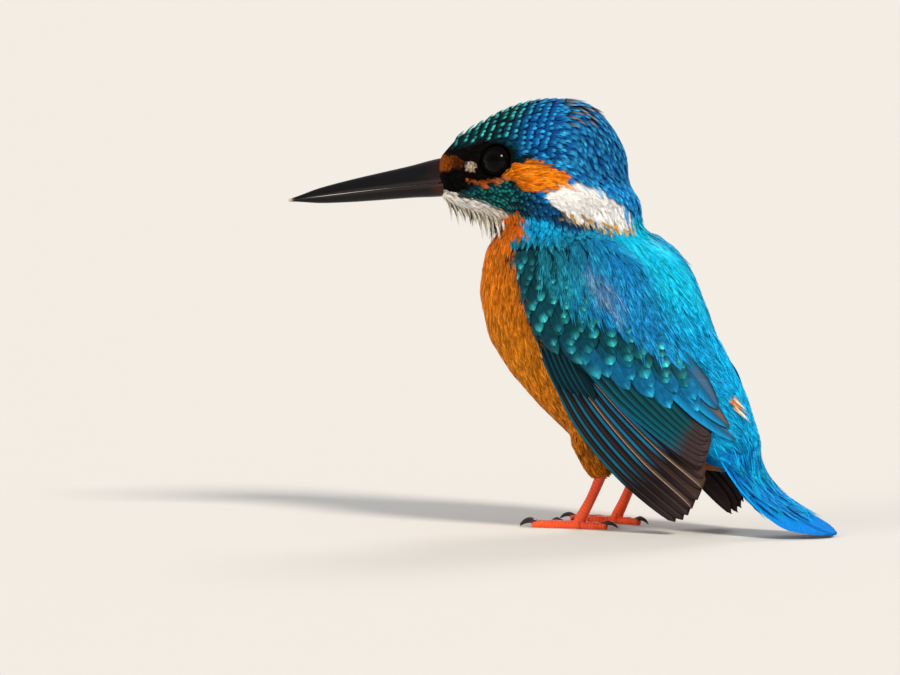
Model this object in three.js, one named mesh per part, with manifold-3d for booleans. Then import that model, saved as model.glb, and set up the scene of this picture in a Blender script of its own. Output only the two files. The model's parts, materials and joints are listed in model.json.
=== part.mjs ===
// A common kingfisher, standing, at life size. Millimetres, +Z up. The bird faces -Y
// and its left side is +X. The origin is the middle of the bottom of its box, on the
// floor, under the toes and the tip of the tail.
//
// The trunk is a loft along a bent spine. A folded wing lies on a swelling surface
// between its leading edge, down the side of the breast, and its upper edge, down the
// back. A place on it is given by two shares: down, from the shoulder to the tips, and
// across, from the leading edge to the upper edge.

import * as THREE from 'three';
import { mergeVertices } from 'three/addons/utils/BufferGeometryUtils.js';
import Module from 'manifold-3d';

const wasm = await Module();
wasm.setup();

// ---------------------------------------------------------------- driving dimensions

const GAP = 0.3; // clear space between neighbouring solids
const FLOOR = 0; // level of the soles and of the tail tip

// Trunk: spine places and the reach of back, belly and side from it.
const TRUNK = [
  { y: -9, z: 79, back: 3, belly: 7, side: 5 },
  { y: -7.5, z: 75.5, back: 8.5, belly: 21.5, side: 12.5 },
  { y: -5, z: 68, back: 14, belly: 27.6, side: 17 },
  { y: -1, z: 55, back: 22.5, belly: 30.8, side: 18.5 },
  { y: 6, z: 42, back: 23.8, belly: 25.7, side: 18 },
  { y: 16, z: 31, back: 20.5, belly: 20.5, side: 15.5 },
  { y: 27, z: 23, back: 12.5, belly: 10.5, side: 11 },
  { y: 36, z: 17, back: 4, belly: 4, side: 6 },
];
const BACK_SQUARENESS = 1.22; // over 1, the back slopes off flatter under the wings
const TRUNK_RINGS = 14;
const TRUNK_SIDES = 20;

// Head: sections across its length, which is level and turned to the bird's left.
const HEAD_TURN = 22; // degrees
const HEAD_CENTRE = { x: 3.2, y: -15.9 };
const HEAD = [
  { ahead: 23.1, top: 86.5, bottom: 76.6, half: 3.8 },
  { ahead: 19, top: 91.1, bottom: 74.6, half: 6 },
  { ahead: 15.4, top: 93.5, bottom: 72.6, half: 8.2 },
  { ahead: 10.6, top: 96.6, bottom: 70.8, half: 10.2 },
  { ahead: 5.8, top: 98.8, bottom: 70, half: 11.5 },
  { ahead: 1, top: 100.2, bottom: 70, half: 12.2 },
  { ahead: -3.7, top: 100.8, bottom: 70.5, half: 12.6 },
  { ahead: -9.3, top: 100.4, bottom: 72, half: 12.4 },
  { ahead: -13.2, top: 99.2, bottom: 73.5, half: 11.4 },
  { ahead: -16.3, top: 96.4, bottom: 74.8, half: 10 },
  { ahead: -18.9, top: 92.9, bottom: 76, half: 8 },
  { ahead: -20.9, top: 89.4, bottom: 77.5, half: 5.5 },
  { ahead: -22, top: 86, bottom: 80, half: 2 },
];
const HEAD_RINGS = 14;
const HEAD_SIDES = 18;

// Neck: a short upright loft between head and trunk.
const NECK = [
  { x: 3, y: -11, z: 88, deep: 9, half: 8 },
  { x: 2, y: -8.5, z: 80, deep: 16.7, half: 12.8 },
  { x: 1, y: -8, z: 74, deep: 18.7, half: 15 },
  { x: 0, y: -6, z: 62, deep: 14, half: 11 },
];
const NECK_RINGS = 5;
const NECK_SIDES = 16;

// Bill: a straight dagger, parted along the mouth line.
const BILL_LENGTH = 37;
const BILL_DROOP = 9; // degrees below level
const BILL_ROOT = { ahead: 22.4, z: 81.5 };
const BILL = [
  { high: 4.5, half: 3.8, mouth: -1.2 },
  { high: 3.75, half: 3.0, mouth: -0.9 },
  { high: 3.2, half: 2.4, mouth: -0.6 },
  { high: 2.6, half: 1.85, mouth: -0.35 },
  { high: 1.75, half: 1.25, mouth: -0.15 },
  { high: 0.35, half: 0.35, mouth: 0 },
];
const BILL_RINGS = 8;
const BILL_HALF_SIDES = 6;

// Eyes.
const EYE_RADIUS = 3.6;
const EYE_PLACE = { ahead: 7.6, out: 8.7, z: 86 };

// Tail: twelve feathers, from under the rump down to the floor.
const TAIL_PATH = [
  { y: 32, z: 24 },
  { y: 44.5, z: 4.5 },
  { y: 63, z: 0.35 },
];
const TAIL_FEATHERS = 12;
const TAIL_ROOT_HALF = 5.2;
const TAIL_TIP_HALF = 11.5;
const TAIL_OUTER_SHORTER = 0.14; // share of the length that the outermost lacks
const TAIL_THICK = 1.1;
const TAIL_ROWS = 4;

// Flight feathers in a solid: the shares of a feather's width where its lines run, how
// high its covered edge lies in the layer, and how much of its length the corners lack.
const FEATHER_LINES = [0.04, 0.5, 0.96];
const COVERED_EDGE = 0.55;
const CORNER_SHORTER = 0.035;

// Wings: the surface that the folded left wing lies on, from shoulder to tips. lead is
// the leading edge, upper the edge along the back, swell the height between them.
const WING_SURFACE = [
  { leadX: 16.3, leadY: -15.6, leadZ: 66.1, upperX: 10.5, upperY: 8, upperZ: 69.5, swell: 4 },
  { leadX: 18.6, leadY: -12.5, leadZ: 56.3, upperX: 9, upperY: 18.2, upperZ: 62.5, swell: 4.2 },
  { leadX: 19.3, leadY: -7.2, leadZ: 47.2, upperX: 8.5, upperY: 23, upperZ: 54.5, swell: 3.8 },
  { leadX: 18.6, leadY: -1.6, leadZ: 34.1, upperX: 7.5, upperY: 27.7, upperZ: 45, swell: 3.6 },
  { leadX: 17, leadY: 4.8, leadZ: 22.6, upperX: 6.2, upperY: 31.7, upperZ: 36.5, swell: 3 },
  { leadX: 14.6, leadY: 15, leadZ: 12.7, upperX: 4.6, upperY: 35.5, upperZ: 29, swell: 2.2 },
  { leadX: 12, leadY: 30.3, leadZ: 3.2, upperX: 2.5, upperY: 39.8, upperZ: 22.5, swell: 1.6 },
];

// The wings' three layers, from the inside out, each a fan of feathers. roots and tips
// run from the foremost feather to the rearmost.
const LAYER_THICK = 0.75;
const LAYER_OFF_BODY = 0.35;
const LAYER_STEP = 1.05; // from one layer's underside to the next one's
const WINGS = {
  primaries: {
    level: 0,
    feathers: 8,
    rows: 4,
    roots: [{ down: 0.42, across: 0.02 }, { down: 0.45, across: 0.16 }, { down: 0.5, across: 0.32 }],
    tips: [{ down: 1, across: 0.02 }, { down: 0.98, across: 0.3 }, { down: 0.93, across: 0.6 }],
  },
  secondaries: {
    level: 1,
    feathers: 9,
    rows: 4,
    roots: [{ down: 0.43, across: 0.1 }, { down: 0.43, across: 0.4 }, { down: 0.43, across: 0.66 }],
    tips: [{ down: 0.7, across: 0.25 }, { down: 0.9, across: 0.62 }, { down: 1, across: 0.97 }],
  },
  coverts: {
    level: 2,
    feathers: 9,
    rows: 5,
    roots: [{ down: 0.02, across: 0.02 }, { down: 0.0, across: 0.5 }, { down: 0.02, across: 0.98 }],
    tips: [{ down: 0.37, across: 0.02 }, { down: 0.55, across: 0.42 }, { down: 0.79, across: 0.96 }],
  },
};

// Legs and feet.
const THIGH_ROWS = 5;
const THIGH_SIDES = 12;
const THIGH = [
  { x: 7, y: 2.2, z: 22, r: 6.5 },
  { x: 7.6, y: 4, z: 16.5, r: 4.8 },
  { x: 8, y: 5.3, z: 12.2, r: 2.2 },
];
const TARSUS_ROWS = 5;
const TARSUS_SIDES = 8;
const TARSUS = [
  { x: 8, y: 5.4, z: 13.2, r: 1.3 },
  { x: 8.2, y: 2.6, z: 7.3, r: 1.15 },
  { x: 8.5, y: -0.3, z: 2.2, r: 1.35 },
];
const TOE_LEVEL = 0.72; // height of a toe's middle line, low enough to leave a flat sole
const TOE_TAPER = 0.22; // share of its radius that a toe loses along its length
const TOE_PAD = 0.1; // share by which a pad swells it
const TOE_ROWS = 6;
const TOE_SIDES = 6;
const TOES = [
  { name: 1, from: [8.4, 0.6], to: [7.4, 6.2], bend: [8, 3.2], r: 1.05, claw: 3 },
  { name: 2, from: [8.2, -0.8], to: [5.4, -8], bend: [6.4, -4], r: 1, claw: 3 },
  { name: 3, from: [8.5, -0.8], to: [8.7, -13], bend: [8.5, -7], r: 1.1, claw: 3.6 },
  { name: 4, from: [8.8, -0.8], to: [11.6, -11.2], bend: [10, -7], r: 1.05, claw: 3.2 },
];
const HUB = { x: 8.5, y: -0.5, z: 1.5, r: 1.9 }; // where the toes meet
const CLAW_IN_TOE = 0.9; // how far back in the toe a claw's middle line starts
const CLAW = [
  { share: 0, rise: 0.35, r: 0.62 },
  { share: 0.35, rise: 0.85, r: 0.55 },
  { share: 0.7, rise: 0.55, r: 0.4 },
  { share: 1, rise: -0.35, r: 0.12 },
];
const CLAW_ROWS = 3;
const CLAW_SIDES = 5;

// ---------------------------------------------------------------------- materials

function finish(color, roughness) {
  return new THREE.MeshStandardMaterial({ color, roughness, metalness: 0 });
}

const COLOURS = {
  feather_blue: finish('#1a8fc4', 0.55),
  feather_teal: finish('#0f6f8c', 0.55),
  feather_brown: finish('#3d3436', 0.6),
  feather_orange: finish('#d98324', 0.8),
  bill_horn: finish('#16161a', 0.3),
  eye_black: finish('#070606', 0.05),
  foot_skin: finish('#e8481c', 0.5),
  claw_horn: finish('#1c1a1c', 0.35),
};

// ------------------------------------------------------------- solids and geometry

/** A number between four equally spaced ones, on a smooth curve through them. */
function smooth(a, b, c, d, f) {
  const slopeB = (c - a) / 2;
  const slopeC = (d - b) / 2;
  const f2 = f * f;
  const f3 = f2 * f;
  return (2 * f3 - 3 * f2 + 1) * b + (f3 - 2 * f2 + f) * slopeB
    + (3 * f2 - 2 * f3) * c + (f3 - f2) * slopeC;
}

/** The station at share t of a list, each of its numbers on a smooth curve. */
function stationAt(stations, t) {
  const last = stations.length - 1;
  const i = Math.min(Math.floor(t * last), last - 1);
  const near = [i - 1, i, i + 1, i + 2].map((k) => stations[THREE.MathUtils.clamp(k, 0, last)]);
  const station = {};
  for (const key of Object.keys(stations[0])) {
    station[key] = smooth(...near.map((s) => s[key]), t * last - i);
  }
  return station;
}

/** A closed body over rings of equal count, with a middle point closing each end. */
function ringBody(rings) {
  const sides = rings[0].length;
  const middle = (ring) => ring.reduce((sum, p) => sum.add(p), new THREE.Vector3())
    .divideScalar(sides);
  const points = [...rings.flat(), middle(rings[0]), middle(rings[rings.length - 1])];
  const index = [];
  for (let r = 0; r < rings.length - 1; r += 1) {
    for (let s = 0; s < sides; s += 1) {
      const a = r * sides + s;
      const b = r * sides + (s + 1) % sides;
      index.push(a, b, b + sides, a, b + sides, a + sides);
    }
  }
  const lastRing = (rings.length - 1) * sides;
  for (let s = 0; s < sides; s += 1) {
    const next = (s + 1) % sides;
    index.push(next, s, points.length - 2);
    index.push(lastRing + s, lastRing + next, points.length - 1);
  }
  const geometry = new THREE.BufferGeometry().setFromPoints(points);
  geometry.setIndex(index);
  return geometry;
}

/** Volume of a closed indexed geometry, negative when its faces point inwards. */
function volumeOf(geometry) {
  const place = geometry.getAttribute('position');
  const index = geometry.getIndex();
  const corner = [new THREE.Vector3(), new THREE.Vector3(), new THREE.Vector3()];
  let volume = 0;
  for (let i = 0; i < index.count; i += 3) {
    corner.forEach((v, k) => v.fromBufferAttribute(place, index.getX(i + k)));
    volume += corner[0].dot(corner[1].cross(corner[2])) / 6;
  }
  return volume;
}

/** A solid that can be joined and cut, from a closed geometry. */
function toSolid(source) {
  const geometry = source.clone();
  geometry.deleteAttribute('normal');
  geometry.deleteAttribute('uv');
  const merged = mergeVertices(geometry, 1e-5);
  const index = Uint32Array.from(merged.getIndex().array);
  if (volumeOf(merged) < 0) {
    index.reverse();
  }
  const vertProperties = Float32Array.from(merged.getAttribute('position').array);
  return new wasm.Manifold(new wasm.Mesh({ numProp: 3, vertProperties, triVerts: index }));
}

/** The geometry of a solid. */
function toGeometry(solid) {
  const mesh = solid.getMesh();
  const geometry = new THREE.BufferGeometry();
  geometry.setAttribute('position', new THREE.BufferAttribute(mesh.vertProperties, 3));
  geometry.setIndex(new THREE.BufferAttribute(mesh.triVerts, 1));
  return geometry;
}

/** A round tube through stations with x, y, z and r; side -1 mirrors it. */
function tube(stations, rings, sides, side = 1, grow = 0) {
  const first = new THREE.Vector3(stations[0].x, stations[0].y, stations[0].z);
  const end = stations[stations.length - 1];
  const run = new THREE.Vector3(end.x, end.y, end.z).sub(first).normalize();
  const across = new THREE.Vector3(1, 0, 0);
  if (Math.abs(run.x) > 0.7) {
    across.set(0, 0, 1);
  }
  const up = new THREE.Vector3().crossVectors(across, run).normalize();
  across.crossVectors(run, up);
  const list = [];
  for (let r = 0; r <= rings; r += 1) {
    const s = stationAt(stations, r / rings);
    const ring = [];
    for (let k = 0; k < sides; k += 1) {
      const turn = 2 * Math.PI * k / sides;
      const point = new THREE.Vector3(s.x, s.y, s.z)
        .addScaledVector(across, Math.cos(turn) * (s.r + grow))
        .addScaledVector(up, Math.sin(turn) * (s.r + grow));
      point.x *= side;
      ring.push(point);
    }
    list.push(ring);
  }
  return toSolid(ringBody(list));
}

/** A solid with all below the floor cut away, which leaves flats to stand on. */
function cutAtFloor(solid) {
  const wide = 400;
  const deep = 50;
  const under = new THREE.BoxGeometry(wide, wide, deep);
  under.translate(0, 0, FLOOR - deep / 2);
  return solid.subtract(toSolid(under));
}

// ---------------------------------------------------------------------- the trunk

/** A point round the spine; off is how far it lies outside the given reaches. */
function pointOnLoft(stations, along, round, off) {
  const s = stationAt(stations, along);
  const step = 0.001;
  const before = stationAt(stations, Math.max(along - step, 0));
  const after = stationAt(stations, Math.min(along + step, 1));
  const run = new THREE.Vector2(after.y - before.y, after.z - before.z).normalize();
  const turn = THREE.MathUtils.degToRad(round);
  const onBack = Math.cos(turn) > 0;
  const power = onBack ? BACK_SQUARENESS : 1;
  const rise = Math.sign(Math.cos(turn)) * Math.abs(Math.cos(turn)) ** power;
  const side = Math.sign(Math.sin(turn)) * Math.abs(Math.sin(turn)) ** power;
  const out = rise * ((onBack ? s.back : s.belly) + off);
  return new THREE.Vector3(side * (s.side + off), s.y - run.y * out, s.z + run.x * out);
}

function trunkSolid(grow) {
  const rings = [];
  for (let r = 0; r <= TRUNK_RINGS; r += 1) {
    const ring = [];
    for (let k = 0; k < TRUNK_SIDES; k += 1) {
      ring.push(pointOnLoft(TRUNK, r / TRUNK_RINGS, 360 * k / TRUNK_SIDES, grow));
    }
    rings.push(ring);
  }
  return toSolid(ringBody(rings));
}

// --------------------------------------------------------------- neck, head, bill

function neckSolid() {
  const rings = [];
  for (let r = 0; r <= NECK_RINGS; r += 1) {
    const s = stationAt(NECK, r / NECK_RINGS);
    const ring = [];
    for (let k = 0; k < NECK_SIDES; k += 1) {
      const turn = 2 * Math.PI * k / NECK_SIDES;
      ring.push(new THREE.Vector3(s.x + s.half * Math.cos(turn), s.y + s.deep * Math.sin(turn), s.z));
    }
    rings.push(ring);
  }
  return toSolid(ringBody(rings));
}

/** A place in the head: ahead along its length, out to its left, and height. */
function headPoint(ahead, out, z) {
  const turn = THREE.MathUtils.degToRad(HEAD_TURN);
  return new THREE.Vector3(
    HEAD_CENTRE.x + ahead * Math.sin(turn) + out * Math.cos(turn),
    HEAD_CENTRE.y - ahead * Math.cos(turn) + out * Math.sin(turn),
    z,
  );
}

function headSolid(grow) {
  const rings = [];
  for (let r = 0; r <= HEAD_RINGS; r += 1) {
    const share = r / HEAD_RINGS;
    const s = stationAt(HEAD, share);
    const middle = (s.top + s.bottom) / 2;
    const high = (s.top - s.bottom) / 2 + grow;
    const ring = [];
    for (let k = 0; k < HEAD_SIDES; k += 1) {
      const turn = 2 * Math.PI * k / HEAD_SIDES;
      const ahead = s.ahead + grow * (1 - 2 * share);
      ring.push(headPoint(ahead, (s.half + grow) * Math.sin(turn), middle + high * Math.cos(turn)));
    }
    rings.push(ring);
  }
  return toSolid(ringBody(rings));
}

/** One half of the bill: above the mouth line when part is 1, below when it is -1. */
function billSolid(part) {
  const droop = THREE.MathUtils.degToRad(BILL_DROOP);
  const rings = [];
  for (let r = 0; r <= BILL_RINGS; r += 1) {
    const share = r / BILL_RINGS;
    const s = stationAt(BILL, share);
    const ahead = BILL_LENGTH * share;
    const mouth = s.mouth * part + GAP / 2;
    const ring = [];
    for (let k = 0; k <= BILL_HALF_SIDES; k += 1) {
      const turn = Math.PI * k / BILL_HALF_SIDES;
      const rise = part * (mouth + Math.max(s.high - mouth, 0.1) * Math.sin(turn));
      ring.push(headPoint(
        BILL_ROOT.ahead + ahead * Math.cos(droop) + rise * Math.sin(droop),
        s.half * Math.cos(turn),
        BILL_ROOT.z - ahead * Math.sin(droop) + rise * Math.cos(droop),
      ));
    }
    rings.push(ring);
  }
  return toSolid(ringBody(rings));
}

/** A ball in the head where an eye sits; side is 1 on the left and -1 on the right. */
function eyeBall(side, radius) {
  const ball = new THREE.SphereGeometry(radius, 12, 8);
  const place = headPoint(EYE_PLACE.ahead, side * EYE_PLACE.out, EYE_PLACE.z);
  return ball.translate(place.x, place.y, place.z);
}

// ------------------------------------------------------------------ flight feathers

/** A closed slab between a grid of upper points and one of lower points, by columns. */
function slabBody(upper, lower) {
  const columns = upper.length;
  const rows = upper[0].length;
  const top = (c, r) => c * rows + r;
  const bottom = (c, r) => (columns + c) * rows + r;
  const index = [];
  const quad = (p, q, u, v) => index.push(p, q, u, p, u, v);
  for (let c = 0; c < columns - 1; c += 1) {
    for (let r = 0; r < rows - 1; r += 1) {
      quad(top(c, r), top(c + 1, r), top(c + 1, r + 1), top(c, r + 1));
      quad(bottom(c, r), bottom(c, r + 1), bottom(c + 1, r + 1), bottom(c + 1, r));
    }
    quad(top(c, 0), bottom(c, 0), bottom(c + 1, 0), top(c + 1, 0));
    quad(top(c + 1, rows - 1), bottom(c + 1, rows - 1), bottom(c, rows - 1), top(c, rows - 1));
  }
  for (let r = 0; r < rows - 1; r += 1) {
    quad(top(0, r + 1), bottom(0, r + 1), bottom(0, r), top(0, r));
    const last = columns - 1;
    quad(top(last, r), bottom(last, r), bottom(last, r + 1), top(last, r + 1));
  }
  const geometry = new THREE.BufferGeometry().setFromPoints([...upper.flat(), ...lower.flat()]);
  geometry.setIndex(index);
  return geometry;
}

/**
 * A fan of feathers that overlap like tiles, as one slab. tipShare gives a feather's
 * length for a share of the fan's width; place gives the point for a share of the
 * width, a share of the length and a height from the underside, 0, to the top, 1.
 */
function featherFan(feathers, rows, tipShare, place) {
  const upper = [];
  const lower = [];
  for (let f = 0; f < feathers; f += 1) {
    for (const edge of FEATHER_LINES) {
      const width = (f + edge) / feathers;
      const length = tipShare(width) * (1 - CORNER_SHORTER * (2 * edge - 1) ** 2);
      const step = THREE.MathUtils.lerp(COVERED_EDGE, 1, edge);
      const up = [];
      const down = [];
      for (let r = 0; r <= rows; r += 1) {
        up.push(place(width, length * r / rows, step));
        down.push(place(width, length * r / rows, 0));
      }
      upper.push(up);
      lower.push(down);
    }
  }
  return toSolid(slabBody(upper, lower));
}

/** A point of the left wing's surface, raised outwards by height. */
function wingPoint(down, across, height) {
  const s = stationAt(WING_SURFACE, down);
  const lead = new THREE.Vector3(s.leadX, s.leadY, s.leadZ);
  const chord = new THREE.Vector3(s.upperX, s.upperY, s.upperZ).sub(lead);
  const before = stationAt(WING_SURFACE, Math.max(down - 0.01, 0));
  const after = stationAt(WING_SURFACE, Math.min(down + 0.01, 1));
  const run = new THREE.Vector3(
    after.leadX - before.leadX + after.upperX - before.upperX,
    after.leadY - before.leadY + after.upperY - before.upperY,
    after.leadZ - before.leadZ + after.upperZ - before.upperZ,
  );
  const out = new THREE.Vector3().crossVectors(run, chord).normalize();
  const slope = 4 * s.swell * (1 - 2 * across) / chord.length();
  const normal = out.clone().addScaledVector(chord.clone().normalize(), -slope).normalize();
  return lead.addScaledVector(chord, across)
    .addScaledVector(out, 4 * s.swell * across * (1 - across))
    .addScaledVector(normal, height);
}

/** Height of a layer's underside: layers lie on each other only over the flight feathers. */
function layerBottom(level, down, across) {
  const rise = THREE.MathUtils.smoothstep(down, 0.12, 0.4);
  const edge = THREE.MathUtils.lerp(0.66, 0.96, THREE.MathUtils.smoothstep(down, 0.45, 0.75));
  const stacked = rise * (1 - THREE.MathUtils.smoothstep(across, edge, edge + 0.2));
  return LAYER_OFF_BODY + level * LAYER_STEP * stacked;
}

function wingSolid(layer, side) {
  const mix = THREE.MathUtils.lerp;
  const place = (width, length, step) => {
    const root = stationAt(layer.roots, width);
    const tip = stationAt(layer.tips, width);
    const down = mix(root.down, tip.down, length);
    const across = mix(root.across, tip.across, length);
    const height = layerBottom(layer.level, down, across) + LAYER_THICK * step;
    const point = wingPoint(down, across, height);
    point.x *= side;
    return point;
  };
  return featherFan(layer.feathers, layer.rows, () => 1, place);
}

function tailSolid() {
  const [start, bend, end] = TAIL_PATH.map((p) => new THREE.Vector2(p.y, p.z));
  const path = new THREE.QuadraticBezierCurve(start, bend, end);
  const place = (width, length, step) => {
    const middle = path.getPoint(length);
    const run = path.getTangent(length);
    const half = THREE.MathUtils.lerp(TAIL_ROOT_HALF, TAIL_TIP_HALF, length);
    const off = TAIL_THICK * (step - 0.5);
    return new THREE.Vector3(
      half * (2 * width - 1),
      middle.x - run.y * off,
      middle.y + run.x * off,
    );
  };
  const tipShare = (width) => 1 - TAIL_OUTER_SHORTER * Math.abs(2 * width - 1) ** 2;
  return cutAtFloor(featherFan(TAIL_FEATHERS, TAIL_ROWS, tipShare, place));
}

// --------------------------------------------------------------------- legs and feet

/** The stations of a toe's middle line, with a pad at each end and at its middle. */
function toeStations(toe) {
  const curve = new THREE.QuadraticBezierCurve(
    new THREE.Vector2(...toe.from),
    new THREE.Vector2(...toe.bend),
    new THREE.Vector2(...toe.to),
  );
  return curve.getPoints(TOE_ROWS).map((p, i) => {
    const share = i / TOE_ROWS;
    const pad = 1 + TOE_PAD * Math.cos(4 * Math.PI * share);
    return { x: p.x, y: p.y, z: TOE_LEVEL, r: toe.r * (1 - TOE_TAPER * share) * pad };
  });
}

/** A claw's middle line: it rises from the toe's end, then bends down to the floor. */
function clawStations(toe) {
  const end = new THREE.Vector2(...toe.to);
  const run = end.clone().sub(new THREE.Vector2(...toe.bend)).normalize();
  const start = end.clone().addScaledVector(run, -CLAW_IN_TOE);
  return CLAW.map(({ share, rise, r }) => {
    const p = start.clone().addScaledVector(run, share * (toe.claw + CLAW_IN_TOE));
    return { x: p.x, y: p.y, z: TOE_LEVEL + rise, r };
  });
}

function footSolid(side, grow) {
  const hub = new THREE.SphereGeometry(HUB.r + grow, 8, 6);
  hub.translate(side * HUB.x, HUB.y, HUB.z);
  const toes = TOES.map((toe) => tube(toeStations(toe), TOE_ROWS, TOE_SIDES, side, grow));
  return cutAtFloor(toes.reduce((sum, toe) => sum.add(toe), toSolid(hub)));
}

// ------------------------------------------------------------------------- assembly

const bird = new THREE.Group();

function addPart(name, shape, material) {
  const geometry = shape instanceof THREE.BufferGeometry ? shape : toGeometry(shape);
  const mesh = new THREE.Mesh(geometry, material);
  mesh.name = name;
  bird.add(mesh);
}

const trunkGrown = trunkSolid(GAP);
const headGrown = headSolid(GAP);
const sides = [['left', 1], ['right', -1]];

addPart('trunk', trunkSolid(0), COLOURS.feather_orange);
addPart('neck', neckSolid().subtract(trunkGrown).subtract(headGrown), COLOURS.feather_blue);
const head = sides.reduce(
  (solid, [, side]) => solid.subtract(toSolid(eyeBall(side, EYE_RADIUS + GAP))),
  headSolid(0),
);
addPart('head', head.subtract(trunkGrown), COLOURS.feather_teal);
addPart('bill_upper', billSolid(1).subtract(headGrown), COLOURS.bill_horn);
addPart('bill_lower', billSolid(-1).subtract(headGrown), COLOURS.bill_horn);
addPart('tail', tailSolid().subtract(trunkGrown), COLOURS.feather_blue);

for (const [label, side] of sides) {
  addPart(`eye_${label}`, eyeBall(side, EYE_RADIUS), COLOURS.eye_black);
  addPart(`wing_${label}_primaries`, wingSolid(WINGS.primaries, side), COLOURS.feather_brown);
  addPart(`wing_${label}_secondaries`, wingSolid(WINGS.secondaries, side), COLOURS.feather_teal);
  addPart(`wing_${label}_coverts`, wingSolid(WINGS.coverts, side), COLOURS.feather_blue);

  const thigh = tube(THIGH, THIGH_ROWS, THIGH_SIDES, side).subtract(trunkGrown);
  addPart(`thigh_${label}`, thigh, COLOURS.feather_orange);
  const footGrown = footSolid(side, GAP);
  const tarsus = tube(TARSUS, TARSUS_ROWS, TARSUS_SIDES, side)
    .subtract(footGrown)
    .subtract(tube(THIGH, THIGH_ROWS, THIGH_SIDES, side, GAP))
    .subtract(trunkGrown);
  addPart(`tarsus_${label}`, tarsus, COLOURS.foot_skin);
  addPart(`foot_${label}`, footSolid(side, 0), COLOURS.foot_skin);
  for (const toe of TOES) {
    const claw = cutAtFloor(tube(clawStations(toe), CLAW_ROWS, CLAW_SIDES, side).subtract(footGrown));
    addPart(`claw_${label}_${toe.name}`, claw, COLOURS.claw_horn);
  }
}

const box = new THREE.Box3().setFromObject(bird);
const middle = box.getCenter(new THREE.Vector3());
bird.position.set(-middle.x, -middle.y, -box.min.z);

export default bird;
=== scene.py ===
"""A common kingfisher, standing, as a still life-size model: skin, feathers, bill, eyes, feet.

Shapes are worked out in millimetres in the bird's own coordinates: it faces -Y, its left
side is +X and the floor is z 0. They turn to metres, in the frame's place, when a mesh is made.
"""
import json
import math

import bpy
import numpy as np
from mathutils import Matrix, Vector
from mathutils.bvhtree import BVHTree
from mathutils.kdtree import KDTree

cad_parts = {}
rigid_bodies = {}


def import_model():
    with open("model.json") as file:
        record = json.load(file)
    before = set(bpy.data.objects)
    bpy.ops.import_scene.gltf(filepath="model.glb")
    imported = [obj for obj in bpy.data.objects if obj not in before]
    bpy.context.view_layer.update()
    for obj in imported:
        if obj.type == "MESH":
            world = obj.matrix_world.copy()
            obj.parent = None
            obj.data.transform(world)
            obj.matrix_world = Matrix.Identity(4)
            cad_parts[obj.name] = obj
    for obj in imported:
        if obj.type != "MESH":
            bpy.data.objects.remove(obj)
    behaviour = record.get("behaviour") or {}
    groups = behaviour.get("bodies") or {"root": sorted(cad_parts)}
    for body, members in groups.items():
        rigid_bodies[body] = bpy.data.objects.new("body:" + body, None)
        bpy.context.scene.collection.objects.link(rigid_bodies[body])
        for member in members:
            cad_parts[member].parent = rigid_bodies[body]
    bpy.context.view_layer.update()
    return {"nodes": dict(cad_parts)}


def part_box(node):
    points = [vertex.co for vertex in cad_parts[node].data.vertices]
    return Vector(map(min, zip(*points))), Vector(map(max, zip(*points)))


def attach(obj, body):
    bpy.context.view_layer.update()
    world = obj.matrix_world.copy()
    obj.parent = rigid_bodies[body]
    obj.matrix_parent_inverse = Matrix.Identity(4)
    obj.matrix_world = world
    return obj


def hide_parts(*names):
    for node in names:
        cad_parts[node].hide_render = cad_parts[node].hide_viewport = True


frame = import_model()
MM = 0.001
SIDES = {"left": 1, "right": -1}

# ------------------------------------------------------------------ sizes, as in the frame

TRUNK_SPINE = [  # y and height, from the neck to the tail
    (-9, 79), (-7.5, 75.5), (-5, 68), (-1, 55), (6, 42), (16, 31), (27, 23), (36, 17),
]
HEAD_TURN = math.radians(22)
HEAD_CENTRE = (3.2, -15.9)
EYE_RADIUS = 3.6
EYE_PLACE = (7.6, 8.7, 86.0)  # ahead, out and height
BILL_LENGTH = 37.0
BILL_DROOP = math.radians(9)
BILL_ROOT = (22.4, 81.5)  # ahead and height
BILL_STATIONS = [  # half height, half width, mouth line
    (4.5, 3.8, -1.2),
    (3.75, 3.0, -0.9),
    (3.2, 2.4, -0.6),
    (2.6, 1.85, -0.35),
    (1.75, 1.25, -0.15),
    (0.35, 0.35, 0.0),
]
TAIL_PATH = [(32, 24), (44.5, 4.5), (63, 0.35)]  # y and height
TAIL_FEATHERS = 12
TAIL_ROOT_HALF = 5.2
TAIL_TIP_HALF = 11.5
WING_SURFACE = [  # leading edge x, y, z; upper edge x, y, z; swell
    (16.3, -15.6, 66.1, 10.5, 8, 69.5, 4),
    (18.6, -12.5, 56.3, 9, 18.2, 62.5, 4.2),
    (19.3, -7.2, 47.2, 8.5, 23, 54.5, 3.8),
    (18.6, -1.6, 34.1, 7.5, 27.7, 45, 3.6),
    (17, 4.8, 22.6, 6.2, 31.7, 36.5, 3),
    (14.6, 15, 12.7, 4.6, 35.5, 29, 2.2),
    (12, 30.3, 3.2, 2.5, 39.8, 22.5, 1.6),
]
LAYER_OFF_BODY = 0.35
LAYER_STEP = 1.05  # each layer of the wing lies so much higher
TARSUS = [(8, 5.4, 13.2, 1.3), (8.2, 2.6, 7.3, 1.15), (8.5, -0.3, 2.2, 1.35)]  # x, y, z, radius
TOE_LEVEL = 0.72
TOES = {  # from, bend, to, radius, claw length
    1: ((8.4, 0.6), (8, 3.2), (7.4, 6.2), 1.05, 3.0),
    2: ((8.2, -0.8), (6.4, -4), (5.4, -8), 1.0, 3.0),
    3: ((8.5, -0.8), (8.5, -7), (8.7, -13), 1.1, 3.6),
    4: ((8.8, -0.8), (10, -7), (11.6, -11.2), 1.05, 3.2),
}
HUB = (8.5, -0.5, 1.5, 1.9)  # x, y, z, radius
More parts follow.
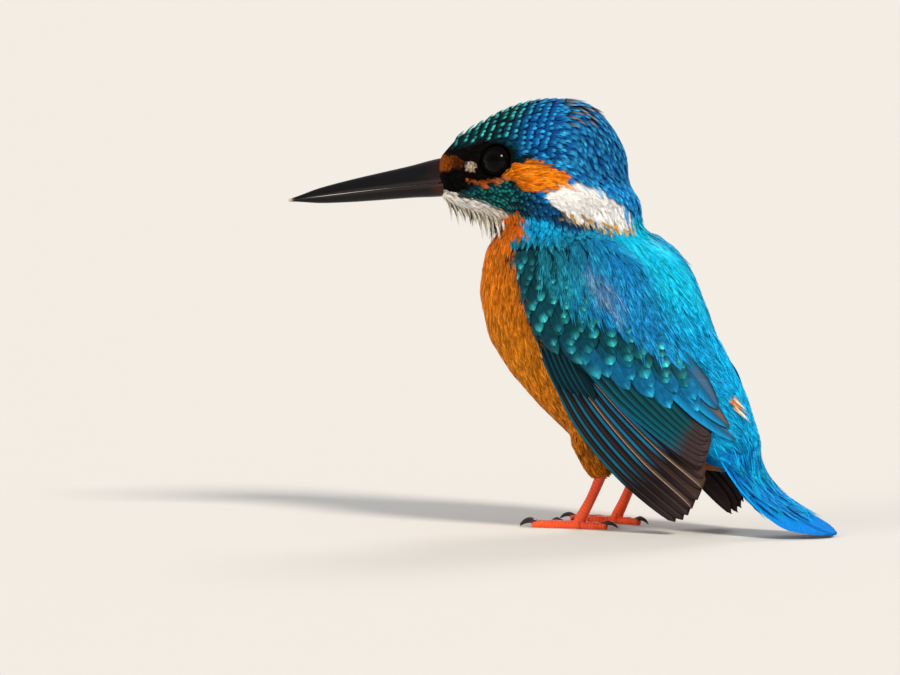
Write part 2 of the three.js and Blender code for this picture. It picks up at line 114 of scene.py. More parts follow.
CLAW = [  # share of its length, height over the toe's middle, radius
    (0, 0.35, 0.62), (0.35, 0.85, 0.55), (0.7, 0.55, 0.4), (1, -0.35, 0.12),
]
CLAW_IN_TOE = 0.9

# ------------------------------------------------------------------ colours

BREAST_RED = "#e46c16"
BREAST_ORANGE = "#ee7f08"
BREAST_GOLD = "#e88608"
BELLY_BROWN = "#a85610"
CHIN_CREAM = "#fbf3de"
NECK_WHITE = "#fffdf8"
NECK_BUFF = "#e9b45a"
EAR_ORANGE = "#f47e08"
LORE_ORANGE = "#8c4410"
LORE_PALE = "#bfa890"
FACE_BLACK = "#0b0808"
CHEEK_DARK = "#05262f"
CHEEK_TEAL = "#1c9c94"
CHEEK_BLUE = "#1c7cc4"
CROWN_DARK = "#072f36"
CROWN_TEAL = "#34c4c0"
CROWN_AZURE = "#28a4e2"
NAPE_DARK = "#0a5294"
NAPE_BLUE = "#1eb6ff"
MANTLE_CYAN = "#06bcff"
MANTLE_TURQUOISE = "#06d4ff"
SCAPULAR_TEAL = "#1b7f90"
SCAPULAR_BLUE = "#1286cc"
SHOULDER_BLUE = "#10b8fa"
SCAPULAR_WORN = "#8f8ca0"
COVERT_DARK = "#04343e"
COVERT_SPOT = "#34b4b8"
FLIGHT_BROWN = "#2a2022"
FLIGHT_TEAL = "#08586c"
FLIGHT_BLUE = "#0c6c98"
SHAFT_TAN_AND_HIGHLIGHT = "#b79a82"
TAIL_BLUE = "#0574cc"


def linear(hex_colour):
    """An sRGB hex colour as linear red, green and blue."""
    part = [int(hex_colour[i:i + 2], 16) / 255 for i in (1, 3, 5)]
    return np.array([c / 12.92 if c <= 0.04045 else ((c + 0.055) / 1.055) ** 2.4 for c in part])


# ------------------------------------------------------------------ small mathematics


def unit(v):
    return v / np.maximum(np.linalg.norm(v, axis=-1, keepdims=True), 1e-9)


def square_to(v, normals):
    """Unit vectors along v, as far as it lies square to the normals."""
    return unit(v - normals * (v * normals).sum(1, keepdims=True))


def ramp(x, low, high):
    """0 below low, 1 above high and smooth between; low may be the greater one."""
    t = np.clip((np.asarray(x, float) - low) / (high - low), 0, 1)
    return t * t * (3 - 2 * t)


def blend(a, b, share):
    """From a to b by a share. Both are numbers or colours, as hex strings or linear."""
    a, b = (linear(v) if isinstance(v, str) else v for v in (a, b))
    share = np.asarray(share, float)
    if share.ndim and np.ndim(a) and np.shape(a)[-1] == 3:
        share = share[..., None]
    return a * (1 - share) + b * share


def layered(base, *layers):
    """What base turns into under layers, each a value and its share, put on in turn."""
    for value, share in layers:
        base = blend(base, value, share)
    return base


def smooth_rows(rows, t):
    """A smooth curve through rows of numbers, at shares t of their count."""
    rows = np.asarray(rows, float)
    last = len(rows) - 1
    x = np.clip(t, 0, 1) * last
    i = np.minimum(np.floor(x).astype(int), last - 1)
    f = (x - i)[..., None]
    a, b, c, d = (rows[np.clip(i + k, 0, last)] for k in (-1, 0, 1, 2))
    slope_b, slope_c = (c - a) / 2, (d - b) / 2
    f2, f3 = f * f, f * f * f
    return ((2 * f3 - 3 * f2 + 1) * b + (f3 - 2 * f2 + f) * slope_b
            + (3 * f2 - 2 * f3) * c + (f3 - f2) * slope_c)


def bezier(points, t):
    """A quadratic Bezier curve and its unit tangent at shares t."""
    a, b, c = (np.asarray(p, float) for p in points)
    t = np.asarray(t, float)[..., None]
    place = (1 - t) ** 2 * a + 2 * t * (1 - t) * b + t * t * c
    return place, unit(2 * (1 - t) * (b - a) + 2 * t * (c - b))


def to_segment(p, a, b):
    """Distances from points to the straight line between two places."""
    edge = b - a
    share = np.clip(((p - a) @ edge) / (edge @ edge), 0, 1)
    return np.linalg.norm(p - a - share[:, None] * edge, axis=1)


def inside(polygon, x, y):
    """Signed distance to a closed outline, over 0 inside it."""
    poly = np.asarray(polygon, float)
    p = np.stack([x, y], -1)
    best = np.full(len(p), 1e9)
    odd = np.zeros(len(p), bool)
    for a, b in zip(poly, np.roll(poly, -1, 0)):
        best = np.minimum(best, to_segment(p, a, b))
        crosses = (a[1] > p[:, 1]) != (b[1] > p[:, 1])
        at = a[0] + (p[:, 1] - a[1]) / (b[1] - a[1] + 1e-12) * (b[0] - a[0])
        odd ^= crosses & (p[:, 0] < at)
    return np.where(odd, best, -best)


HEAD_FRONT = np.array([math.sin(HEAD_TURN), -math.cos(HEAD_TURN), 0])
HEAD_LEFT = np.array([math.cos(HEAD_TURN), math.sin(HEAD_TURN), 0])
HEAD_BASE = np.array([*HEAD_CENTRE, 0.0])
UP = np.array([0.0, 0.0, 1.0])


def from_head(ahead, out, z):
    """Bird coordinates of a place in the head."""
    ahead, out, z = np.broadcast_arrays(*(np.asarray(v, float) for v in (ahead, out, z)))
    return HEAD_BASE + ahead[..., None] * HEAD_FRONT + out[..., None] * HEAD_LEFT + z[..., None] * UP


def to_head(points):
    """Ahead, out to the left and height of bird coordinates."""
    off = points - HEAD_BASE
    return off @ HEAD_FRONT, off @ HEAD_LEFT, points[..., 2]


def eye_distance(ahead, z):
    """How far places on the head are from the eye's middle, seen from the side."""
    return np.hypot(ahead - EYE_PLACE[0], z - EYE_PLACE[2])


def wing_point(down, across, height):
    """A place on the left wing's surface, raised by height."""
    down, across, height = np.broadcast_arrays(
        *(np.asarray(v, float) for v in (down, across, height)))
    station = smooth_rows(WING_SURFACE, down)
    lead = station[..., 0:3]
    chord = station[..., 3:6] - lead
    step = 0.01
    before, after = smooth_rows(WING_SURFACE, down - step), smooth_rows(WING_SURFACE, down + step)
    run = (after - before)[..., 0:3] + (after - before)[..., 3:6]
    out = unit(np.cross(run, chord))
    swell, a = station[..., 6:7], across[..., None]
    slope = 4 * swell * (1 - 2 * a) / np.linalg.norm(chord, axis=-1, keepdims=True)
    normal = unit(out - slope * unit(chord))
    return lead + a * chord + out * 4 * swell * a * (1 - a) + normal * height[..., None]


def wing_out(down, across):
    """The way out of the left wing's surface at its places."""
    return wing_point(down, across, 1.0) - wing_point(down, across, 0.0)


def layer_bottom(level, down, across):
    """Height of a wing layer's underside over the wing's surface."""
    rise = ramp(down, 0.12, 0.4)
    edge = 0.66 + 0.3 * ramp(down, 0.45, 0.75)
    stacked = rise * (1 - ramp(across - edge, 0, 0.2))
    return LAYER_OFF_BODY + level * LAYER_STEP * stacked


# ------------------------------------------------------------------ places and meshes

EYE_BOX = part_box("eye_left")
OFFSET = np.array((EYE_BOX[0] + EYE_BOX[1]) / 2) / MM - from_head(*EYE_PLACE)


def to_frame(points):
    """Bird millimetres to the frame's metres."""
    return (np.asarray(points, float) + OFFSET) * MM


def to_bird(points):
    return np.asarray(points, float) / MM - OFFSET


def make_mesh(name, points, faces, metres=False):
    """A mesh from points and an array of faces of one size."""
    points = np.asarray(points, float) if metres else to_frame(points)
    faces = np.asarray(faces, np.int32)
    mesh = bpy.data.meshes.new(name)
    mesh.vertices.add(len(points))
    mesh.vertices.foreach_set("co", points.astype(np.float32).ravel())
    corners = faces.shape[1]
    mesh.loops.add(faces.size)
    mesh.loops.foreach_set("vertex_index", faces.ravel())
    mesh.polygons.add(len(faces))
    mesh.polygons.foreach_set("loop_start", np.arange(0, faces.size, corners, dtype=np.int32))
    mesh.update(calc_edges=True)
    mesh.validate()
    mesh.shade_smooth()
    return mesh


def make_object(name, mesh):
    thing = bpy.data.objects.new(name, mesh)
    bpy.context.scene.collection.objects.link(thing)
    return thing


def read(items, field, width, kind=np.float32):
    """A field of all of a mesh's items, width numbers to an item."""
    values = np.empty(len(items) * width, kind)
    items.foreach_get(field, values)
    return values.reshape(-1, width)


def points_of(mesh):
    return read(mesh.vertices, "co", 3).astype(float)


def normals_of(mesh):
    return read(mesh.vertices, "normal", 3).astype(float)


def shape_of(mesh):
    """A mesh's points, in metres, and its triangles."""
    mesh.calc_loop_triangles()
    return points_of(mesh), read(mesh.loop_triangles, "vertices", 3, np.int32)


def move_points(mesh, places):
    """Puts a mesh's points at places in metres."""
    mesh.vertices.foreach_set("co", places.astype(np.float32).ravel())
    mesh.update()


def put(mesh, name, kind, values):
    """Stores an attribute of a mesh's points."""
    layer = mesh.attributes.get(name) or mesh.attributes.new(name, kind, "POINT")
    values = np.asarray(values, np.int32 if kind == "INT" else np.float32)
    field = {"FLOAT_COLOR": "color", "FLOAT_VECTOR": "vector"}.get(kind, "value")
    layer.data.foreach_set(field, values.ravel())


def with_alpha(colours):
    return np.concatenate([colours, np.ones((len(colours), 1))], 1)


def edges_of(mesh):
    """Both ends of every edge, and how many edges each point has."""
    a, b = read(mesh.edges, "vertices", 2, np.int32).T
    count = np.bincount(np.concatenate([a, b]), minlength=len(mesh.vertices))
    return a, b, np.maximum(count, 1)[:, None]


def neighbour_middle(places, edges):
    """The middle of each point's neighbours."""
    a, b, count = edges
    n = len(places)
    total = [np.bincount(a, places[b, k], n) + np.bincount(b, places[a, k], n) for k in range(3)]
    return np.stack(total, 1) / count


def smoothed(mesh, rounds):
    """Evens out a mesh: each point moves half the way to the middle of its neighbours."""
    places, edges = points_of(mesh), edges_of(mesh)
    for _ in range(rounds):
        places = places + 0.5 * (neighbour_middle(places, edges) - places)
    move_points(mesh, places)


def filled(mesh, share, rounds):
    """Fills hollows only: points move out to their neighbours' middle, by share of each, never in."""
    places, edges = points_of(mesh), edges_of(mesh)
    for step in range(rounds):
        if step % 10 == 0:
            move_points(mesh, places)
            normals = normals_of(mesh)
        shift = neighbour_middle(places, edges) - places
        outward = np.maximum((shift * normals).sum(1, keepdims=True), 0)
        places = places + normals * outward * share[:, None]
    move_points(mesh, places)


def halved(quads):
    """Quads split into triangles."""
    return np.concatenate([quads[:, [0, 1, 2]], quads[:, [0, 2, 3]]])


def joined(shapes):
    """Points and faces of several shapes as one."""
    starts = np.cumsum([0] + [len(points) for points, _ in shapes])
    return (np.concatenate([points for points, _ in shapes]),
            np.concatenate([faces + start for (_, faces), start in zip(shapes, starts)]))


def plain_mesh(thing):
    """The object's mesh with its modifiers done."""
    graph = bpy.context.evaluated_depsgraph_get()
    graph.update()
    return bpy.data.meshes.new_from_object(thing.evaluated_get(graph))


def remeshed(name, shapes, voxel):
    """One closed surface round closed shapes that may cross, in metres, by cubes of a size."""
    raw = make_object(name + "_raw", make_mesh(name, *joined(shapes), metres=True))
    merge = raw.modifiers.new("merge", "WELD")
    merge.merge_threshold = 1e-6
    skinned = raw.modifiers.new("skin", "REMESH")
    skinned.mode = "VOXEL"
    skinned.voxel_size = voxel * MM
    skinned.use_smooth_shade = True
    mesh = plain_mesh(raw)
    bpy.data.objects.remove(raw)
    return mesh


# ------------------------------------------------------------------ markings
# Outlines on the side of the head: ahead and height, from the front round.

EAR_PATCH = [(5.8, 82.6), (2.9, 85.4), (-1.9, 86.4), (-6.7, 85.7), (-9.5, 84.0), (-10.9, 81.9),
             (-10.3, 80.4), (-6.4, 79.4), (-4.3, 78.8), (-1.9, 79.2), (1.6, 79.7), (4.4, 81.3)]
WHITE_PATCH = [(-6.0, 79.0), (-10.2, 80.7), (-13.6, 80.5), (-17.8, 79.2), (-20.2, 77.3), (-23, 74.8),
               (-24.5, 71.7), (-23.7, 70.0), (-20.2, 70.3), (-16.4, 71.7), (-13, 73.0), (-8.8, 74.6),
               (-6.4, 76), (-5.5, 77.7)]
CHEEK_STRIPE = [(12.0, 80.6), (5.7, 81.6), (3.7, 80.1), (0.2, 78.9), (-3.3, 78.2), (-5.4, 76.4),
                (-8.8, 74.5), (-12.6, 72.6), (-16.8, 70.7), (-16.0, 69.2), (-12.2, 69.2), (-8.2, 70.2),
                (-5, 71.6), (-1.9, 72.4), (0.9, 72.8), (4.4, 73.3), (7.8, 74.9), (10.6, 76.1),
                (13.5, 77.0), (15.0, 78.4), (14.0, 80.2)]
THROAT = [(25, 78.4), (17, 77.6), (12.2, 76.6), (9, 75.4), (6, 74.2), (4.4, 73.4), (4.6, 72.2),
          (7.5, 70.4), (12, 69), (26, 69)]
GAPE_LINE = [(14.8, 81.2), (11.5, 80.75), (6.2, 81.7)]
LORE = [(25, 86.9), (17.8, 86.9), (15.9, 86.0), (16.0, 84.4), (19, 83.8), (22, 83.0), (25, 83.0)]
MASK = [(25, 88.6), (16, 89.0), (10.5, 90.6), (5.5, 90.2), (2.4, 87.6), (3.2, 84.0), (6.0, 81.9),
        (11.5, 80.8), (14.6, 80.0), (15.2, 77.8), (25, 78.2)]
CROWN_EDGE = [(-14, 80), (-9, 85.5), (-4, 87.2), (2, 88.0), (5, 90.6), (8, 91.2), (12, 90.2), (16, 89.0),
              (20, 88.2), (23, 87.4)]


def crown_line(ahead):
    """The height of the crown's lower edge."""
    return np.interp(ahead, *np.array(CROWN_EDGE).T)


def spine_middle(z):
    """The spine's y at a height."""
    return np.interp(z, *np.array(TRUNK_SPINE[:0:-1]).T[::-1])


def shoulder_front(z):
    """How far forward the blue of the shoulder reaches, as y at a height."""
    return -17.7 + 1.17 * np.clip(z - 67.2, 0, 6)


def orange_body(points):
    """Breast and belly: redder at the top, golden down the belly, browner under it, with painted shade beside
    the wing.
    """
    z = points[:, 2]
    base = layered(BREAST_ORANGE, (BREAST_RED, ramp(z, 57, 71)), (BREAST_GOLD, ramp(z, 54, 42)),
                   (BELLY_BROWN, ramp(z, 36, 18) * 0.7))
    _, _, height, stray = wing_place(points)
    # Painted shade: the breast is darkened where it meets the folded wing.
    shade_beside_wing = ramp(np.hypot(height, stray), 8, 0.5) * ramp(z, 70, 60)
    base = base * (1 - 0.3 * shade_beside_wing)[:, None]
    return base, blend(base, "#ffb044", 0.35)


def blue_body(points):
    """Back and rump: a bright stripe down the middle, deeper to the sides, greener in front."""
    x, y, z = np.abs(points[:, 0]), points[:, 1], points[:, 2]
    side = ramp(x, 4.0, 13.0)
    front = side * ramp(y, 15, -2) * ramp(z, 43, 55)
    band = ramp(z, 64.8, 66.6) * ramp(y, 4, -6)
    behind, up = y - 11.3, z - 56.3  # from the middle of the worn streak, which runs down and back
    worn = ramp(np.hypot((0.77 * behind + 0.64 * up) / 2.2, (0.64 * behind - 0.77 * up) / 8.5), 1.2, 0.3)
    worn = worn * ramp(x, 7, 9)
    base = layered(MANTLE_CYAN, (MANTLE_TURQUOISE, ramp(z, 46, 58)), (SCAPULAR_BLUE, side),
                   (SCAPULAR_TEAL, 0.85 * front), (SHOULDER_BLUE, 0.9 * band))
    light = layered(base, ("#3ce4ff", 0.36),
                    ("#c2cdf0", 0.55 * band * ramp(y - shoulder_front(z), 3.5, 1.0)),
                    ("#bcc2cc", 0.55 * worn))
    return blend(base, SCAPULAR_WORN, 0.3 * worn), light


def markings(points):
    """Colours of the plumage at places on the body: base, light streaks and how barred it is.

    barred is 1 where feathers are dark with bright bars or spots, and 0 elsewhere.
    """
    ahead, out, z = to_head(points)
    out = np.abs(out)
    x, y = np.abs(points[:, 0]), points[:, 1]
    base, light = orange_body(points)
    barred = np.zeros(len(points))

    def paint(mask, low, bright, bars=0.0):
        nonlocal base, light, barred
        base, light = blend(base, low, mask), blend(light, bright, mask)
        barred = blend(barred, bars, mask)

    shoulder = ramp(y - shoulder_front(z), -0.4, 0.4) * ramp(z, 65.2, 66.6) * ramp(x, 8.0, 9.5)
    paint(np.maximum(ramp(y - spine_middle(z), 1.5, 4.0), shoulder), *blue_body(points))

    # The head: dark under all its marks, then the nape and the crown.
    on_head = ramp(z, 71.2, 72.6) * ramp(np.hypot(ahead - 2, out), 32, 30) * np.maximum(
        ramp(z, 74.5, 75.5), ramp(ahead, -4, -8))
    paint(on_head, CHEEK_DARK, CHEEK_DARK)
    nape_base = blend(NAPE_DARK, "#0f6cb8", ramp(ahead, -8, -18))
    paint(on_head * ramp(ahead, -1, -4), nape_base, NAPE_BLUE, 1.0)
    crown = ramp(z - crown_line(ahead), -0.3, 0.3) * (z > 78)
    azure = np.clip(ramp(ahead, 4, -5) + ramp(out, 6, 9) * ramp(ahead, 8, 0) * 0.5, 0, 1)
    paint(crown, blend(CROWN_DARK, NAPE_DARK, azure), blend(CROWN_TEAL, CROWN_AZURE, azure), 1.0)
    paint(crown * ramp(ahead, 18.0, 20.0), FACE_BLACK, "#3c4a4c", 1.0)

    # The face, from the throat up to the lores.
    side_on = ramp(out, 3.5, 5.5)
    paint(ramp(inside(THROAT, ahead, z), -0.3, 0.3) * ramp(ahead, 3, 5), CHIN_CREAM, "#ffffff")
    cheek = ramp(inside(CHEEK_STRIPE, ahead, z), -0.25, 0.25) * side_on
    cheek_light = blend(CHEEK_TEAL, CHEEK_BLUE, ramp(ahead, 4, -5))
    paint(cheek, blend(CHEEK_DARK, "#08395c", ramp(ahead, 2, -6)), cheek_light, 1.0)
    paint(ramp(inside(MASK, ahead, z), -0.3, 0.3), FACE_BLACK, "#170b08")
    lore_base = blend(LORE_ORANGE, "#481e08", ramp(ahead, 20.0, 17.5))
    paint(ramp(inside(LORE, ahead, z), -0.2, 0.2), lore_base, blend(lore_base, "#e07a28", 0.4))
    paint(ramp(np.hypot((ahead - 13.9) / 1.25, z - 84.6), 1.35, 0.95), LORE_PALE, "#ddcfba")

    # The ear patch, and the white patch with its ragged buff edge.
    ear = ramp(inside(EAR_PATCH, ahead, z), -0.12, 0.12) * side_on
    paint(ear, blend(EAR_ORANGE, "#d2600f", ramp(ahead, -3, 3) * ramp(z, 83.5, 81.5)), "#ffae30")
    white_at = inside(WHITE_PATCH, ahead, z)
    reach = ramp(out, 7.0, 8.5)
    patchy = ramp(np.sin(2.3 * ahead + 3.1 * z) + np.sin(5.3 * ahead - 1.7 * z), -0.7, 0.1)
    fringe = ramp(white_at, -2.6, -1.4) * ramp(z, 73.6, 72.4) * reach * ramp(ahead, -7, -9.5) * patchy
    paint(fringe, NECK_BUFF, "#f4d690")
    paint(ramp(white_at, -0.3, 0.3) * reach, NECK_WHITE, "#ffffff")
    line, q = np.array(GAPE_LINE), np.stack([ahead, z], 1)
    gape = np.minimum(*(to_segment(q, a, b) for a, b in zip(line, line[1:])))
    paint(ramp(gape, 0.5, 0.3) * side_on, "#b8561f", "#e08a44")
    return base, light, barred


# ------------------------------------------------------------------ the lie of the coat

SPINE = smooth_rows(TRUNK_SPINE, np.linspace(0, 1, 80))
SPINE_RUN = unit(np.gradient(SPINE, axis=0))


def spine_station(points):
    """Index of the spine's station whose cross-section holds each point."""
    off = points[:, None, 1:3] - SPINE[None]
    along = np.abs((off * SPINE_RUN[None]).sum(-1))
    return np.argmin(along + 0.15 * np.linalg.norm(off, axis=-1), axis=1)


def lie_of(points, normals):
    """The way the feathers point at places on the body, along its surface."""
    run = SPINE_RUN[spine_station(points)]
    body = np.stack([np.zeros(len(points)), run[:, 0], run[:, 1]], 1)
    ahead, _, z = to_head(points)
    away = points - from_head(BILL_ROOT[0] + 6, 0, BILL_ROOT[1])
    head = unit(unit(away) - 0.6 * HEAD_FRONT)
    head = unit(blend(head, -UP - 0.25 * HEAD_FRONT, ramp(ahead, 0, -17) * 0.85))
    on_body = np.maximum(ramp(z, 80, 70) * ramp(ahead, 34, 22), ramp(z, 73.5, 70.5))
    return square_to(unit(blend(head, body, on_body)), normals)


def turns(lie, normals, swing):
    """Quaternions that point a feather's +Y along its lie, swung aside, and its +Z outwards."""
    side = np.cross(normals, lie)
    y = unit(lie * np.cos(swing)[:, None] + side * np.sin(swing)[:, None])
    x = unit(np.cross(y, normals))
    m = np.stack([x, y, np.cross(x, y)], -1)
    w, i, j, k = (np.sqrt(np.maximum(0, 1 + a * m[:, 0, 0] + b * m[:, 1, 1] + c * m[:, 2, 2])) / 2
                  for a, b, c in ((1, 1, 1), (1, -1, -1), (-1, 1, -1), (-1, -1, 1)))
    i, j, k = (np.copysign(v, m[:, p, q] - m[:, q, p]) for v, p, q in ((i, 2, 1), (j, 0, 2), (k, 1, 0)))
    return np.stack([w, i, j, k], 1)


# ------------------------------------------------------------------ materials


def material(name):
    made = bpy.data.materials.new(name)
    made.use_nodes = True
    made.node_tree.nodes.clear()
    return made, made.node_tree


def add(tree, kind, settings=None, links=None):
    """Adds a node; settings are its properties or input values, links its inputs' sources.

    A kind that doesn't have Node in its name is one of the shader nodes. A source is a socket,
    or a node whose first output it is.
    """
    node = tree.nodes.new(kind if "Node" in kind else "ShaderNode" + kind)
    for key, value in (settings or {}).items():
        if isinstance(key, int) or key in node.inputs:
            node.inputs[key].default_value = value
        else:
            setattr(node, key, value)
    for key, source in (links or {}).items():
        if isinstance(source, bpy.types.Node):
            source = source.outputs[0]
        tree.links.new(source, node.inputs[key])
    return node


def rgba(hex_colour):
    return (*linear(hex_colour), 1.0)


def plumage(name, roughness, streak, barb_mm, softness, speckle=0.3, spot_edge=(1.05, 2.05),
            gloss=0.3, glint=0.0):
    """Feather keratin. Loose barbs scatter light softly; each lock has its own shade.

    streak is how much locks differ, barb_mm and speckle the size and depth of the grain, and
    softness how much the shading follows the skin under the feathers. spot_edge is where a
    spot starts to fade and ends, its frayed radius being about 0.65 at its middle; glint is
    a painted highlight, how much brighter a spot is along the shaft.
    """
    made, tree = material(name)
    base, tip, vane, lock, spot, under = (
        add(tree, "Attribute", {"attribute_name": stored}).outputs
        for stored in ("tint", "tip", "vane", "lock", "spot", "coat_normal"))
    split = add(tree, "SeparateXYZ", links={0: vane["Vector"]})
    # Barbs: fine streaks that run with the feather, different from lock to lock.
    apart = add(tree, "Math", {"operation": "MULTIPLY", 1: 23.0}, {0: lock["Fac"]})
    drawn = add(tree, "VectorMath", {"operation": "MULTIPLY", 1: (16.0, 1.3, 1.0)}, {0: vane["Vector"]})
    barbs = add(tree, "TexNoise", {"noise_dimensions": "4D", "Scale": 1.0, "Detail": 3.0},
                {"Vector": drawn, "W": apart})
    along = add(tree, "MapRange",
                {"From Min": 0.25, "From Max": 0.95, "interpolation_type": "SMOOTHSTEP"},
                {"Value": split.outputs["Y"]})
    # The spot: round, at the tip, its edge frayed by the barbs.
    parts = add(tree, "SeparateXYZ", links={0: spot["Vector"]})
    wide = add(tree, "Math", {"operation": "MAXIMUM", 1: 0.001}, {0: parts.outputs["X"]})
    far = add(tree, "Math", {"operation": "MAXIMUM", 1: 0.001}, {0: parts.outputs["Y"]})
    from_tip = add(tree, "Math", {"operation": "SUBTRACT", 0: 1.0}, {1: split.outputs["Y"]})
    aside = add(tree, "Math", {"operation": "DIVIDE"}, {0: split.outputs["X"], 1: wide})
    back = add(tree, "Math", {"operation": "DIVIDE"}, {0: from_tip, 1: far})
    place_in = add(tree, "CombineXYZ", links={0: aside, 1: back})
    radius = add(tree, "VectorMath", {"operation": "LENGTH"}, {0: place_in})
    frayed = add(tree, "Math", {"operation": "MULTIPLY_ADD", 1: 1.3},
                 {0: barbs.outputs["Fac"], 2: radius.outputs["Value"]})
    bar = add(tree, "MapRange",
              {"From Min": spot_edge[0], "From Max": spot_edge[1], "To Min": 1.0, "To Max": 0.0,
               "interpolation_type": "SMOOTHSTEP"}, {"Value": frayed})
    # Plain feathers turn to their tip's colour along their length, spotted ones in the spot.
    is_spotted = add(tree, "Math", {"operation": "GREATER_THAN", 1: 0.01}, {0: parts.outputs["X"]})
    share = add(tree, "Mix", {"data_type": "FLOAT"},
                {0: is_spotted, 2: along, 3: bar})
    mixed = add(tree, "Mix", {"data_type": "RGBA"},
                {0: share, 6: base["Color"], 7: tip["Color"]})
    # Each lock and barb brighter or darker at random, and a painted highlight along the shaft of a spot.
    place = add(tree, "TexCoord")
    grain = add(tree, "TexNoise", {"Scale": 1 / (barb_mm * MM * 4), "Detail": 3.0},
                {"Vector": place.outputs["Object"]})
    shade = add(tree, "Math", {"operation": "MULTIPLY_ADD", 1: streak, 2: 1 - streak * 0.45},
                {0: lock["Fac"]})
    fleck = add(tree, "Math", {"operation": "ADD"}, {0: grain.outputs["Fac"], 1: barbs.outputs["Fac"]})
    speck = add(tree, "MapRange",
                {"From Min": 0.6, "From Max": 1.4, "To Min": 1 - speckle, "To Max": 1 + speckle},
                {"Value": fleck})
    both = add(tree, "Math", {"operation": "MULTIPLY"}, {0: shade, 1: speck})
    beside = add(tree, "Math", {"operation": "ABSOLUTE"}, {0: split.outputs["X"]})
    line = add(tree, "MapRange", {"From Min": 0.02, "From Max": 0.08, "To Min": glint, "To Max": 0.0},
               {"Value": beside})
    shine = add(tree, "Math", {"operation": "MULTIPLY_ADD", 2: 1.0}, {0: line, 1: bar})
    lit = add(tree, "Math", {"operation": "MULTIPLY"}, {0: both, 1: shine})
    colour = add(tree, "VectorMath", {"operation": "SCALE"}, {0: mixed.outputs[2], "Scale": lit})
    # The feathers are shaded partly as the smooth body under them.
    facing = add(tree, "NewGeometry")
    soft = add(tree, "Mix", {"data_type": "VECTOR", 0: softness},
               {4: facing.outputs["Normal"], 5: under["Vector"]})
    even = add(tree, "VectorMath", {"operation": "NORMALIZE"}, {0: soft.outputs[1]})
    bump = add(tree, "Bump", {"Strength": 0.15, "Distance": 0.0001},
               {"Height": barbs.outputs["Fac"], "Normal": even})
    # The gloss and the soft edge take the feather's own colour, as structural blue does.
    own = add(tree, "Mix", {"data_type": "RGBA", 0: 0.85, 6: (1, 1, 1, 1)}, {7: colour})
    shader = add(tree, "BsdfPrincipled",
                 {"Roughness": roughness, "IOR": 1.54, "Specular IOR Level": gloss,
                  "Sheen Weight": 0.15, "Sheen Roughness": 0.4},
                 {"Base Color": colour, "Normal": bump,
                  "Specular Tint": own.outputs[2], "Sheen Tint": own.outputs[2]})
    add(tree, "OutputMaterial", links={"Surface": shader})
    return made


# Crown, nape and cheeks: firm little feathers with a fine grain.
SOFT_PLUMAGE = plumage("contour_feather_keratin", 0.62, 0.45, 0.3, 0.6)
# Mantle, scapulars, rump and ears: silkier, each lock with its own bright or dark shade.
SILKY_PLUMAGE = plumage("silky_feather_keratin", 0.45, 1.0, 0.25, 0.55)
# The face: short and dull as velvet.
FACE_PLUMAGE = plumage("face_feather_keratin", 0.75, 0.3, 0.3, 0.6, gloss=0.06)
# Breast, belly and flanks: hair-like, with streaks of light and shade.
BREAST_PLUMAGE = plumage("breast_feather_keratin", 0.6, 0.6, 0.25, 0.65, speckle=0.35)
# Wing coverts: firm vanes with frayed spots, with a painted highlight along the shaft.
COVERT_PLUMAGE = plumage("wing_covert_keratin", 0.55, 0.5, 0.25, 0.35, speckle=0.45,
                         spot_edge=(0.5, 2.4), glint=0.8)
# Throat and neck patch: pale down that is almost even.
WHITE_PLUMAGE = plumage("white_down_keratin", 0.75, 0.1, 0.3, 0.9, speckle=0.05)


def vane_material(name, roughness, gloss):
    """Flight feather keratin: barbs run slantwise from the shaft, with a low gloss."""
    made, tree = material(name)
    tint = add(tree, "Attribute", {"attribute_name": "tint"})
    vane = add(tree, "Attribute", {"attribute_name": "barbs"})
    barbs = add(tree, "TexNoise", {"Scale": 1.0, "Detail": 2.0}, {"Vector": vane.outputs["Vector"]})
    speck = add(tree, "MapRange", {"From Min": 0.25, "From Max": 0.75, "To Min": 0.72, "To Max": 1.22},
                {"Value": barbs.outputs["Fac"]})
    colour = add(tree, "VectorMath", {"operation": "SCALE"},
                 {0: tint.outputs["Color"], "Scale": speck})
    bump = add(tree, "Bump", {"Strength": 0.25, "Distance": 0.0001}, {"Height": barbs.outputs["Fac"]})
    shader = add(tree, "BsdfPrincipled",
                 {"Roughness": roughness, "IOR": 1.54, "Specular IOR Level": gloss},
                 {"Base Color": colour, "Normal": bump})
    add(tree, "OutputMaterial", links={"Surface": shader})
    return made


VANE = vane_material("flight_feather_keratin", 0.5, 0.05)
TAIL_VANE = vane_material("tail_feather_keratin", 0.85, 0.03)


def skin_material():
    """Skin with down: matt, in the colours of the coat over it, darkened as in its shade."""
    made, tree = material("downy_skin")
    tint = add(tree, "Attribute", {"attribute_name": "tint"})
    place = add(tree, "TexCoord")
    down = add(tree, "TexNoise", {"Scale": 2500.0, "Detail": 3.0}, {"Vector": place.outputs["Object"]})
    bump = add(tree, "Bump", {"Strength": 0.6, "Distance": 0.0003}, {"Height": down.outputs["Fac"]})
    shader = add(tree, "BsdfPrincipled", {"Roughness": 0.9, "Specular IOR Level": 0.1},
                 {"Base Color": tint.outputs["Color"], "Normal": bump})
    add(tree, "OutputMaterial", links={"Surface": shader})
    return made


# ------------------------------------------------------------------ the wing's places

GRID_ROWS, GRID_COLUMNS = 81, 65
GRID_DOWN, GRID_ACROSS = (v.ravel() for v in np.meshgrid(
    np.linspace(0, 1, GRID_ROWS), np.linspace(-0.12, 1.16, GRID_COLUMNS), indexing="ij"))
GRID_POINTS = wing_point(GRID_DOWN, GRID_ACROSS, 0.0)


def grid_faces(rows, columns, flip=False):
    """Quads over a grid of points, rows by columns."""
    i, j = np.meshgrid(np.arange(rows - 1), np.arange(columns - 1), indexing="ij")
    a = (i * columns + j).ravel()
    quads = np.stack([a, a + 1, a + columns + 1, a + columns], 1)
    return quads[:, ::-1] if flip else quads

